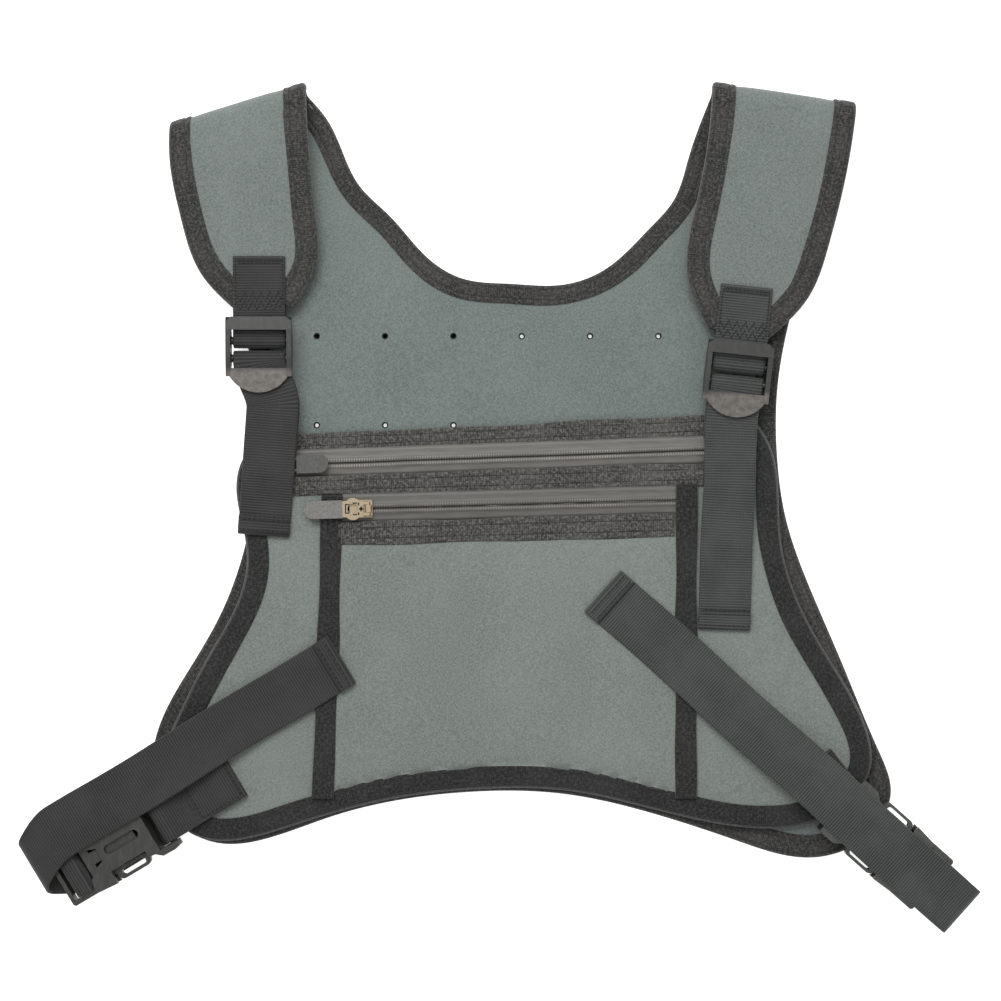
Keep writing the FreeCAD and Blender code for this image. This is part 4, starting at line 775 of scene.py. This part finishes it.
def makeStrap(side):
    route = strapRoute(side)
    start, across, down = foldFrame(side)
    heading = headings(route)
    edges = {w: strapEdge(side, w) for w in ("outer", "inner")}
    tip = min(edges["outer"][0][-1], edges["inner"][0][-1])
    rows, uvs = [], []
    count = strapPly["across"]
    along = np.concatenate([[0], np.cumsum(np.linalg.norm(np.diff(route, axis=0), axis=1))])
    shares = np.linspace(0, 1, count)
    for k, (d, z) in enumerate(route):
        if d > tip - 0.5:
            break
        a0 = np.interp(d, edges["outer"][0], edges["outer"][1])
        a1 = foldEdge(side, "inner", d, z, edges)
        if abs(a1 - a0) < 16:
            break
        sign = 1 if a1 > a0 else -1
        a = a0 + sign * 2.0 + (a1 - a0 - sign * 4.0) * shares
        # outward: down under the panel, up on the front run
        normal = np.array([heading[k][1], -heading[k][0]])
        crown = strapPly["crown"] * np.sin(shares * math.pi) ** 0.6
        for fromEdge in (shares * abs(a1 - a0), (1 - shares) * abs(a1 - a0)):    # dips beside each binding
            crown = crown - 0.3 * np.exp(-((fromEdge - 10) / 5) ** 2)
        ripple = wander(a, a * 0 + along[k], strapPly["ripple"], 60.0, strapPly["seed"][side])
        crown = crown + ripple * np.sin(shares * math.pi)
        half = strapPly["thick"] / 2
        outerFace = [start + across * ai + down * d for ai in a]
        ring = []
        for p, c in zip(outerFace, crown):
            off = -normal * (half + c)
            ring.append((p[0] + down[0] * off[0], p[1] + down[1] * off[0], z + off[1]))
        for p in reversed(outerFace):
            off = normal * half
            ring.append((p[0] + down[0] * off[0], p[1] + down[1] * off[0], z + off[1]))
        rows.append(ring)
        uvs += [(along[k], ai) for ai in a] + [(along[k], ai) for ai in a[::-1]]
    verts, faces = sweep(rows)
    cloth = addMesh(side + "_strap_cloth", verts, faces, neopreneStrap, uvs=np.array(uvs))
    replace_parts(cloth, side + "_shoulder_strap")
    for which in ("outer", "inner"):
        drop, shift, line = edges[which]
        inSign = 1 if (shift[-40] < np.interp(drop[-40], edges["inner" if which == "outer" else "outer"][0],
                                              edges["inner" if which == "outer" else "outer"][1])) else -1
        pts, ups, ins = [], [], []
        for k, (d, z) in enumerate(route):   # under the fold and round it
            if d > 14 and z > 6:
                break
            if z <= 2.2 and d > foldBack + 1.2:
                continue
            here = start + across * foldEdge(side, which, d, z, edges) + down * d
            normal = -np.array([heading[k][1], -heading[k][0]])
            pts.append((here[0], here[1], z))
            ups.append((down[0] * normal[0], down[1] * normal[0], normal[1]))
            ins.append((across[0] * inSign, across[1] * inSign, 0))
        body = line[drop > 14.5]             # then along the cut edge, at the height of the front run there
        bodyDrop = drop[drop > 14.5]
        frontRun = route[(route[:, 1] > 8)]
        frontDir = heading[(route[:, 1] > 8)]
        turned = leftOf(body) * (1 if np.dot(leftOf(body)[0], across * inSign) > 0 else -1)
        for p, dp, inn in list(zip(body, bodyDrop, turned))[::2]:
            z = np.interp(dp, frontRun[:, 0], frontRun[:, 1])
            slope = np.interp(dp, frontRun[:, 0], frontDir[:, 1])
            n = np.array([-slope, math.sqrt(max(1 - slope ** 2, 0))])
            up = np.array([down[0] * n[0], down[1] * n[0], n[1]])
            inward = np.array([inn[0], inn[1], 0.0])
            inward -= up * (inward @ up)
            inward /= np.linalg.norm(inward)
            pts.append((p[0], p[1], z))
            ups.append(up)
            ins.append(inward)
        pts, ups, ins = np.array(pts), np.array(ups), np.array(ins)
        for pile in (ups, ins):
            pile /= np.linalg.norm(pile, axis=1, keepdims=True)
        tape = dict(strapTape, seed=1.1 if which == "outer" else 3.3)
        made = wrapTape("%s_strap_%s_tape" % (side, which), pts, ins, ups, tape, bindingDark)
        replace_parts(made, "%s_strap_%s_binding" % (side, which))
        for inset in (bindingWidth - 2.7, bindingWidth * 0.2):
            threads.row(pts + ins * inset + ups * (2.1 - (0.32 if inset > 4 else 0.10)), ups,
                        sewing["binding"])


for side in ("left", "right"):
    makeStrap(side)
print("shoulder straps made")

# front panel, its pocket and zips
frontPly = {"bottom": 5.8, "top": 8.8, "pinch": 0.45, "crown": 0.55, "ripple": 0.45, "rippleSize": 70.0,
            "seam": 11.0,
            "shoulder": 22.0, "pucker": 0.22, "seed": 2.0}
liningPly = {"bottom": 4.3, "top": 5.8, "pinch": 0.1, "crown": 0.0, "ripple": 0.0, "rippleSize": 50.0,
             "seam": 11.0,
             "shoulder": 20.0, "grid": (4.0, 4.0)}
pocketPly = {"bottom": 9.2, "top": 10.8, "pinch": 0.40, "crown": 0.60, "ripple": 0.50, "rippleSize": 82.0,
             "seam": 10.4,
             "shoulder": 26.0, "pucker": 0.22, "seed": 5.0, "tuck": 1.3}


def insetLine(line, distance):
    return line + leftOf(line) * distance


def cutBelow(outline, name, drop=0.6):       # keep what lies below a seam line
    level, angle = seamLines[name]
    slope = math.tan(math.radians(angle))
    above = outline[:, 1] - (level - drop + outline[:, 0] * slope)
    kept = []
    for k in range(len(outline)):
        n = (k + 1) % len(outline)
        if above[k] <= 0:
            kept.append(outline[k])
        if (above[k] <= 0) != (above[n] <= 0):
            share = above[k] / (above[k] - above[n])
            kept.append(outline[k] + (outline[n] - outline[k]) * share)
    return np.array(kept)


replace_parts(panelPly("front_lining_cloth", frontEdge, liningPly, neopreneBack), "front_lining")
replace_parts(panelPly("front_panel_cloth", cutBelow(frontEdge, "upperTapeBottom", 2.5),
                     dict(frontPly, margin=2.0), neopreneFront),
            "front_panel")


def sideLine(which, shift=0.0, step=1.4):
    (x0, y0), (x1, y1), sign = pocketSides[which]
    top = (x0 + shift * sign, y0)
    return evenly([top, (x1 + shift * sign, y1)], step)


left, right = sideLine("left"), sideLine("right")
innerEdge = insetLine(frontEdge, bindingWidth - 3)
pocketOutline = np.vstack([left[:1], left[-1:], right[-1:], right[:1]])
pocketOutline = cutBelow(pocketOutline, "lowerTapeBottom", 1.0)
# the pocket's lower edge is caught under the hem binding
hem = innerEdge[(innerEdge[:, 1] < -125) & (innerEdge[:, 0] > -89) & (innerEdge[:, 0] < 93.5)]
top = pocketOutline[pocketOutline[:, 1] > -100]
top = top[np.argsort(top[:, 0])]
pocketOutline = np.vstack([[(-89.8, hem[0][1])], hem, [(94.0, hem[-1][1])], top[::-1]])
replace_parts(panelPly("centre_pocket_cloth", pocketOutline, pocketPly, neopreneFront), "centre_pocket")

frontTape = {"width": bindingWidth, "half": 2.85, "thick": 0.6, "dip": 0.45, "wobble": 0.40, "seed": 3.0,
             "roll": 1.3}
bindFlat("front_edge_tape", frontEdge, 6.55, frontTape, bindingHem, "front_edge_binding")
print("front panel made")

stripTape = {"profile": [(0.0, -0.1), (0.03, 0.42), (0.10, 0.62), (0.20, 0.56), (0.27, 0.28), (0.34, 0.52),
                         (0.50, 0.66),
                         (0.64, 0.54), (0.72, 0.26), (0.80, 0.52), (0.92, 0.56), (0.98, 0.36), (1.0, -0.1)],
             "wobble": 0.55, "lift": 0.16}
strips = [
    ("top_tape", "topEdge", "upperTapeTop", (-111.5, 119.0), 5.8, -2.0, "top_binding", 1.0),
    ("middle_tape", "upperTapeBottom", "lowerTapeTop", (-114.0, 122.5), 8.8, -2.6, "middle_binding", 5.0),
    ("lower_tape", "lowerTapeBottom", "pocketSeam", (-77.5, 85.0), 10.8, -1.6, "lower_binding", 8.0)]
for name, upperName, lowerName, (x0, x1), z, base, node, seed in strips:
    upper = np.array([seamAt(upperName, x) for x in np.arange(x0, x1, 1.3)])
    lower = np.array([seamAt(lowerName, x) for x in np.arange(x0, x1, 1.3)])
    made = flatTape(name, upper, lower, z, dict(stripTape, base=base, seed=seed), bindingLight)
    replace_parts(made, node)
    for share in (0.27, 0.72):
        line = flat3(upper + (lower - upper) * share, z + 0.32)
        threads.row(line, upright(len(line)), sewing["binding"])
for which in ("left", "right"):
    outer = sideLine(which)
    inner = sideLine(which, seamWidth)
    topAt = seamAt("lowerTapeTop", outer[0][0])[1]
    inside = (outer[:, 1] < topAt + 1.2) & (outer[:, 1] > -141.5)
    made = flatTape(which + "_pocket_tape", outer[inside], inner[inside], 10.8,
                    dict(stripTape, base=-2.0, seed=2.6), bindingHem)
    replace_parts(made, which + "_pocket_binding")
    for share in (0.27, 0.72):
        line = flat3((outer + (inner - outer) * share)[inside], 11.12)
        threads.row(line, upright(len(line)), sewing["binding"])

zips = {"upper": {"line": "upperZip", "top": "upperTapeTop", "bottom": "upperTapeBottom", "z": 5.8,
                  "ends": (-112.5, 119.5)},
        "lower": {"line": "lowerZip", "top": "lowerTapeTop", "bottom": "lowerTapeBottom", "z": 8.8,
                  "ends": (-75.8, 84.6)}}
zipCloth = {"pitch": 1.22, "ridge": 0.62, "tooth": 0.34, "slit": 0.75, "tape": 0.62}


# coated tape pair: two embossed coil ridges with a slit between them
def makeZip(name, z):
    data = zipCloth
    step = data["pitch"] / 5
    xs = np.arange(z["ends"][0], z["ends"][1], step)
    rings, uvs = [], []
    offsets = [0.0, 0.16, 0.5, 1.0, 1.6, 2.2, 2.7, 3.2, 4.2]
    for k, x in enumerate(xs):
        mid = np.array(seamAt(z["line"], x))
        hi = seamAt(z["top"], x)[1] - mid[1] + 0.6
        lo = mid[1] - seamAt(z["bottom"], x)[1] + 0.6
        beat = 0.5 + 0.5 * math.cos(2 * math.pi * x / data["pitch"])
        beat2 = 0.5 + 0.5 * math.cos(2 * math.pi * (x / data["pitch"] + 0.5))
        wave = wander(np.array([x]), np.array([3.0]), 0.22, 44.0, 1.0 if name == "upper" else 2.5)[0]
        ring, spots = [], []
        for sign, reach, b in ((1, hi, beat), (-1, lo, beat2)):
            part, flatPart = [], []
            for q in offsets + [reach * 0.75 if reach * 0.75 > 4.6 else 4.7, reach]:
                if q > reach:
                    q = reach
                h = data["tape"]
                h += data["ridge"] * math.exp(-((q - 1.5) / 0.95) ** 2)
                h += data["tooth"] * b * math.exp(-((q - 1.55) / 0.75) ** 2)
                if q < 0.4:
                    h -= data["slit"] * (1 - q / 0.4)
                part.append((x, mid[1] + sign * q + wave * 0.4, z["z"] + h))
                flatPart.append((x, sign * q))
            ring += part[::-1] if sign > 0 else part[1:]
            spots += flatPart[::-1] if sign > 0 else flatPart[1:]
        ring += [(x, mid[1] - lo, z["z"] + 0.02), (x, mid[1] + hi, z["z"] + 0.02)]
        rings.append(ring)
        uvs += spots + [(x, -lo), (x, hi)]
    verts, faces = sweep(rings)
    made = addMesh(name + "_zip_cloth", verts, faces, zipTape if name == "upper" else zipTapeLow,
                   uvs=np.array(uvs))
    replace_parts(made, name + "_zip_tape", name + "_zip_coil")


for name, z in zips.items():
    makeZip(name, z)
print("zips made")

# webbing
# turn: radius round a bar, fold: how far a hemmed end lies over the webbing below it, bar: the lock's second bar
web = {"thick": 1.5, "width": 25.0, "waist": 26.5, "turn": 2.95, "fold": 1.62, "bar": 8.5, "gap": 0.1,
       "step": 0.9}
lockAt = {"left": {"at": (-115.3, 79.3), "tailAt": (-106.4, 79.3), "yaw": -90.0, "tailYaw": -94.3,
                   "stub": -40.2,
                   "hem": (84.4, 93.0), "low": 27.0, "sewn": 54.2},
          "right": {"at": (114.2, 67.4), "tailAt": (111.5, 67.4), "yaw": -96.0, "tailYaw": -91.8,
                    "stub": -38.0,
                    "hem": (117.4, 126.2), "low": 21.0, "sewn": 34.7}}


class Place:                                 # a turned frame: local x along, y across, z up
    def __init__(self, x, y, z, yaw, pitch=0.0):
        w, p = math.radians(yaw), math.radians(pitch)
        self.at = np.array([x, y, z], float)
        self.x = np.array([math.cos(w) * math.cos(p), math.sin(w) * math.cos(p), -math.sin(p)])
        self.y = np.array([-math.sin(w), math.cos(w), 0.0])
        self.z = np.array([math.sin(p) * math.cos(w), math.sin(p) * math.sin(w), math.cos(p)])

    def put(self, x, y, z):
        x, y, z = np.broadcast_arrays(np.asarray(x, float), np.asarray(y, float), np.asarray(z, float))
        return self.at + x[..., None] * self.x + y[..., None] * self.y + z[..., None] * self.z


def webRibbon(name, centres, sideways, width, material, body="root", sheared=False, cup=0.12):
    t = web["thick"] / 2
    half = width / 2
    across = np.linspace(-half + 0.9, half - 0.9, 13)
    upper = [(a, t - 0.05 + cup * (1 - (a / half) ** 2)) for a in across]
    section = [(-half, 0.0), (-half + 0.12, t * 0.62), (-half + 0.45, t + 0.03)] + upper + \
              [(half - 0.45, t + 0.03), (half - 0.12, t * 0.62), (half, 0.0)] + \
              [(half - 0.12, -t * 0.62), (half - 0.45, -t)] + [(a, -t) for a in across[::-1]] + \
              [(-half + 0.45, -t), (-half + 0.12, -t * 0.62)]
    section = np.array(section)
    way = headings(centres)
    side = np.asarray(sideways, float)
    if not sheared:
        side = side - way * (side * way).sum(1, keepdims=True)
    side /= np.linalg.norm(side, axis=1, keepdims=True)
    up = np.cross(way, side)
    up /= np.linalg.norm(up, axis=1, keepdims=True)
    along = np.concatenate([[0], np.cumsum(np.linalg.norm(np.diff(centres, axis=0), axis=1))])
    rings = centres[:, None] + side[:, None] * section[None, :, :1] + up[:, None] * section[None, :, 1:]
    perimeter = np.concatenate([[0], np.cumsum(np.linalg.norm(np.diff(section, axis=0), axis=1))])
    uvs = np.stack([np.repeat(along, len(section)), np.tile(perimeter, len(along))], axis=1)
    verts, faces = sweep(rings)
    made = addMesh(name, verts, faces, material, body, uvs=uvs)
    return made


webThreads = Threads()
sideWebbing = {"left": webbingDark, "right": webbingGrey}
for side, lock in lockAt.items():
    lockPlace = Place(*lock["at"], strapTip, lock["yaw"])
    tailPlace = Place(*lock["tailAt"], strapTip, lock["tailYaw"])
    t = web["turn"]
    # the loop sewn on the strap holds the lock's first bar
    loop = routeLine([(lock["stub"], t, 0), (t, t, t), (t, -t, t), (lock["stub"] + 8, -t, 0)], 0.7)
    centres = lockPlace.put(loop[:, 0], 0.0, loop[:, 1])
    made = webRibbon(side + "_strap_loop", centres, np.tile(lockPlace.y, (len(centres), 1)), web["width"],
                     sideWebbing[side])
    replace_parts(made, side + "_strap_webbing")
    top = t + web["thick"] / 2 + 0.08
    d = lock["stub"] + 40.2
    lines = [[(-38.2, -11.2), (-38.2, 11.2)], [(-36.9, 11.0), (-36.9, -11.0)],
             [(-37.5, -11.3), (-17.0, -11.3)], [(-37.5, 11.3), (-17.0, 11.3)]]
    for start in (-22.5, -18.5):
        lines.append([(start + 3.4 * (k % 2), -11.0 + 22.0 * k / 11) for k in range(12)])
    for line in lines:
        spots = np.array(line)
        webThreads.row(lockPlace.put(spots[:, 0] + d, spots[:, 1], top),
                       np.array([lockPlace.z] * len(spots)), dict(sewing["web"], pitch=2.0))
    # the chest webbing: sewn under the top tape, round the second bar and down as a loose hemmed tail
    rest = -0.45
    hemStart, hemEnd = lock["hem"]
    run = routeLine([(lock["sewn"], -3.45, 0), (lock["sewn"] - 4, -3.45, 6), (lock["low"], -t, 4),
                     (web["bar"] - t, -t, t), (web["bar"] - t, t, t),
                     (30, t, 12), (63.0, 1.9, 40), (hemStart - 6, rest, 30), (hemEnd, rest, 0.79),
                     (hemEnd, rest + web["fold"], 0.79),
                     (hemStart, rest + web["fold"], 0)], web["step"])
    share = smoothStep((run[:, 0] - 9) / 24.0)[:, None]
    a = lockPlace.put(run[:, 0], 0.0, run[:, 1])
    b = tailPlace.put(run[:, 0], 0.0, run[:, 1])
    centres = a * (1 - share) + b * share
    sideways = lockPlace.y * (1 - share) + tailPlace.y * share
    waver = wander(run[:, 0], run[:, 0] * 0, 0.35, 60.0,
                   1.0 if side == "left" else 2.0) * smoothStep((run[:, 0] - 40) / 20)
    centres = centres + sideways * waver[:, None]
    made = webRibbon(side + "_chest_web", centres, sideways, web["width"], sideWebbing[side], body=None)
    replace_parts(made, side + "_chest_webbing", side + "_chest_webbing_turn", side + "_chest_tail")
    low, high = tailPlace.put(34.0, 0, 0), tailPlace.put(21.0, 0, 0)
    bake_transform(made)
    for x in (hemStart + 0.2, hemStart + 2.0, hemEnd - 1.4):
        webThreads.row(tailPlace.put(np.array([x, x]), np.array([-11.6, 11.6]),
                                     rest + web["fold"] + web["thick"] / 2 + 0.1),
                       np.array([tailPlace.z] * 2), dict(sewing["web"], pitch=2.3))

# lies: what the sewn loop and the loose tail rest on; the rest is in the tilted buckle's own side view
buckleBody = {"tilt": math.radians(4.0), "halfHeight": 4.8, "socketEnd": 23.3, "firstBar": -21.3,
              "clearance": 0.5, "under": -5.9, "over": 6.4, "around": 3.55, "adjuster": (25.2, 30.6),
              "loopLies": 9.4, "tailLies": 11.4}
buckleHigh = buckleBody["loopLies"] + buckleBody["clearance"] \
    + buckleBody["halfHeight"] * math.cos(buckleBody["tilt"]) \
    - buckleBody["socketEnd"] * math.sin(buckleBody["tilt"])
buckles = {"left": {"at": (-180.5, -159.9), "yaw": 211.0, "stub": 40.6, "tail": 133.9,
                    "tailAt": (-190.6, -143.1),
                    "tailYaw": 211.2, "stubYaw": 0.0, "underBend": -26.0, "turnOut": 43.5},
           "right": {"at": (180.1, -157.8), "yaw": -41.5, "stub": 25.0, "tail": 175.2,
                     "tailAt": (180.1, -157.8),
                     "tailYaw": -41.9, "stubYaw": -10.5, "underBend": -8.0, "turnOut": 55.0}}


def tilt(along, high):
    lean = buckleBody["tilt"]
    return (along * math.cos(lean) + high * math.sin(lean),
            buckleHigh - along * math.sin(lean) + high * math.cos(lean))


for side, data in buckles.items():
    level = Place(*data["at"], 0.0, data["yaw"])
    tailLevel = Place(*data["tailAt"], 0.0, data["tailYaw"])
    barX, barZ = tilt(buckleBody["firstBar"], 0.0)
    ply = buckleBody["loopLies"] + web["gap"] + web["thick"] / 2
    turnX = barX + web["turn"]
    end = barX - data["stub"]
    loop = routeLine([(end, ply, 0), (barX - 14, ply, 20), (turnX, barZ - web["turn"], 2.4),
                      (turnX, barZ + web["turn"], 2.4),
                      (barX - 1.5, barZ + web["turn"], 3), (barX - 14, ply + 1.6, 12), (end, ply + 1.6, 0)], 0.7)
    yaw = math.radians(data["stubYaw"])
    stubLocal = np.stack([barX + (loop[:, 0] - barX) * math.cos(yaw), (loop[:, 0] - barX) * math.sin(yaw)],
                         axis=1)
    centres = level.put(stubLocal[:, 0], stubLocal[:, 1], loop[:, 1])
    across = level.y * math.cos(yaw) - level.x * math.sin(yaw)
    made = webRibbon(side + "_corner_loop", centres, np.tile(across, (len(centres), 1)), web["width"],
                     webbingDark)
    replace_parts(made, side + "_corner_webbing")
    lengthwise = level.x * math.cos(yaw) + level.y * math.sin(yaw)
    base = level.put(barX, 0.0, ply + 1.6 + web["thick"] / 2 + 0.06)

    def onStub(along, off):
        return base + lengthwise * (along - barX) + across * off
    inner = end + 2.0
    outer = barX - 17.0 if side == "left" else barX - 15.5
    for xa, ya, xb, yb in ((inner, -10.8, inner, 10.8), (inner, 10.8, outer, 10.8),
                           (inner, -10.8, outer, -10.8), (outer, -10.8, outer, 10.8)):
        webThreads.row(np.array([onStub(xa, ya), onStub(xb, yb)]), np.array([level.z] * 2), sewing["web"])
    zig = [onStub(outer + 2.2 + 2.6 * (k % 2), -10.5 + 21.0 * k / 14) for k in range(15)]
    webThreads.row(np.array(zig), np.array([level.z] * len(zig)), dict(sewing["web"], pitch=1.9))
    # the waist webbing: from the back panel under the buckle, through the adjuster, and back over the top
    under, over, around = buckleBody["under"], buckleBody["over"], buckleBody["around"]
    top = buckleBody["tailLies"] + web["gap"] + web["thick"] / 2
    upX, downX = buckleBody["adjuster"][0] - 1.1, buckleBody["adjuster"][1] + 1.1
    turn = (over + around) / 2 - 0.1
    crestX, crestZ = tilt(-buckleBody["socketEnd"] - 1, over)
    route = [(-38.0, 1.8, 0), (data["underBend"], 1.8, 12), tilt(12, under) + (10,),
             tilt(upX, under) + (2.0,), tilt(upX, around) + (1.6,),
             tilt(downX, around) + (1.6,), tilt(downX, -around) + (1.6,),
             tilt(data["turnOut"], -around) + (turn,),
             tilt(data["turnOut"], over) + (turn,), tilt(data["turnOut"] - 14, over) + (20,),
             (crestX, crestZ, 25), (crestX - 40, top + 2.2, 50),
             (-data["tail"] + 50, top, 60), (-data["tail"], top, 0.8),
             (-data["tail"], top + web["fold"], 0.8),
             (-data["tail"] + 8, top + web["fold"], 0)]
    run = routeLine(route, web["step"])
    along = np.arange(len(run)) * web["step"]
    turnAt = np.argmax(run[:, 0])
    share = smoothStep((along - along[turnAt] + 24) / 48.0)[:, None]
    centres = level.put(run[:, 0], 0.0, run[:, 1]) * (1 - share)
    centres = centres + tailLevel.put(run[:, 0], 0.0, run[:, 1]) * share
    sideways = level.y * (1 - share) + tailLevel.y * share
    waver = wander(run[:, 0], run[:, 0] * 0, 0.6, 90.0,
                   3.0 if side == "left" else 4.0) * smoothStep((along - along[turnAt] - 20) / 30)
    centres = centres + sideways * waver[:, None]
    made = webRibbon(side + "_waist_web", centres, sideways, web["waist"], sideWebbing[side], body=None,
                     sheared=True)
    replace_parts(made, side + "_waist_webbing", side + "_waist_webbing_turn", side + "_waist_tail")
    for inset in (2.4, 6.4):
        spots = tailLevel.put(np.full(2, -data["tail"] + inset), np.array([-12.0, 12.0]) + waver[-1],
                              top + web["fold"] + 0.84)
        webThreads.row(spots, np.array([level.z] * 2), dict(sewing["web"], pitch=2.6))
    tuple(level.put(-60.0, 0, 12.0) * mm)
    tuple(level.put(22.0, 0, 12.0) * mm)
    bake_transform(made)
threads.make("seam_stitches")
webThreads.make("webbing_stitches")
print("webbing made")

# painted shade: dark bars filling the lower pull's openwork cut-outs
cutoutShade = {"high": 14.14, "thick": 0.10,       # bars: middle x, middle y, width, height
         "bars": [(-73.9, -1.35, 0.55, 4.6), (-73.0, 0.7, 1.8, 0.55), (-73.0, -3.4, 1.8, 0.55),
                  (-66.4, -1.35, 0.9, 2.2), (-66.4, -1.35, 2.2, 0.7), (-69.4, 1.4, 1.9, 0.6),
                  (-69.4, -4.1, 1.9, 0.6), (-67.7, 1.0, 0.7, 1.3), (-67.7, -3.7, 0.7, 1.3)]}
verts, faces = [], []
for x, y, wide, tall in cutoutShade["bars"]:
    start = len(verts)
    for z in (cutoutShade["high"], cutoutShade["high"] + cutoutShade["thick"]):
        verts += [(x - wide / 2, y - tall / 2, z), (x + wide / 2, y - tall / 2, z),
                  (x + wide / 2, y + tall / 2, z),
                  (x - wide / 2, y + tall / 2, z)]
    for face in ((3, 2, 1, 0), (4, 5, 6, 7), (0, 1, 5, 4), (1, 2, 6, 5), (2, 3, 7, 6), (3, 0, 4, 7)):
        faces.append(tuple(start + k for k in face))
addMesh("lower_pull_cutout_shade", np.array(verts), faces, holeShade, "lower_pull", smooth=False)

# hardware: carried-over pieces get rounded edges and their own finish
finishes = {"left_buckle_socket": (bucklePlastic, 0.45), "right_buckle_socket": (bucklePlastic, 0.45),
            "left_buckle_plug": (bucklePlastic, 0.35), "right_buckle_plug": (bucklePlastic, 0.35),
            "left_ladder_lock": (lockPlastic, 0.8), "right_ladder_lock": (lockPlastic, 0.8),
            "upper_zip_slider": (darkMetal, 0.25), "lower_zip_slider": (giltMetal, 0.25),
            "lower_zip_pull": (giltMetal, 0.22), "upper_zip_pull": (tabRubber, 0.4),
            "lower_pull_tab": (pullRubber, 0.5)}
for side in ("left", "right"):
    for arm in ("upper", "lower"):
        finishes["%s_buckle_arm_%s" % (side, arm)] = (bucklePlastic, 0.35)
for node, (material, soften) in finishes.items():
    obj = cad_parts[node]
    obj.data.materials.clear()
    obj.data.materials.append(material)
    rounded = obj.modifiers.new("softEdges", "BEVEL")
    rounded.width = soften * mm
    rounded.segments = 3
    rounded.limit_method = "ANGLE"
    rounded.angle_limit = math.radians(40)
    rounded.harden_normals = False
print("hardware finished")

# floor, lights and camera
stageSettings = {"floorTone": tone(250, 250, 250), "floorGlow": 0.62, "keyPower": 9.0, "fillPower": 5.0,
                 "worldLight": 0.55}
bpy.ops.mesh.primitive_plane_add(size=4.0, location=(0, 0, -0.0004))
floor = bpy.context.object
floor.name = "floor"
floorPaint = Shader("paleFloor")
floorPaint.feed(floorPaint.bsdf.inputs["Emission Color"], (1, 1, 1, 1))
floorPaint.feed(floorPaint.bsdf.inputs["Emission Strength"], stageSettings["floorGlow"])
floor.data.materials.append(floorPaint.finish(stageSettings["floorTone"], 0.9))


def softLight(name, at, aim, size, power, colour=(1, 1, 1)):
    lamp = bpy.data.lights.new(name, "AREA")
    lamp.shape = "RECTANGLE"
    lamp.size, lamp.size_y = size
    lamp.energy = power
    lamp.color = colour
    obj = bpy.data.objects.new(name, lamp)
    bpy.context.scene.collection.objects.link(obj)
    obj.location = at
    way = np.array(aim, float) - np.array(at, float)
    obj.rotation_euler = Vector(way).to_track_quat("-Z", "Y").to_euler()
    return obj


softLight("keyLight", (-0.25, 0.75, 1.25), (0, 0, 0), (1.0, 0.8), stageSettings["keyPower"] * 2.2)
softLight("fillLight", (0.5, -0.7, 1.4), (0, 0, 0), (1.2, 1.2), stageSettings["fillPower"])
world = bpy.data.worlds.new("studioWorld")
world.use_nodes = True
world.node_tree.nodes["Background"].inputs[0].default_value = (1, 1, 1, 1)
world.node_tree.nodes["Background"].inputs[1].default_value = stageSettings["worldLight"]
bpy.context.scene.world = world
bpy.context.scene.view_settings.view_transform = "Standard"
bpy.context.scene.view_settings.look = "None"

view = {"across": 0.4805, "middle": (0.00024, 0.00264), "height": 1.15, "plane": 0.010}
camera = bpy.data.objects.new("camera", bpy.data.cameras.new("camera"))
bpy.context.scene.collection.objects.link(camera)
camera.location = (view["middle"][0], view["middle"][1], view["plane"] + view["height"])
camera.data.sensor_width = 36.0
camera.data.lens = 36.0 * view["height"] / view["across"]
camera.data.clip_start = 0.01
bpy.context.scene.camera = camera

print("scene ready")
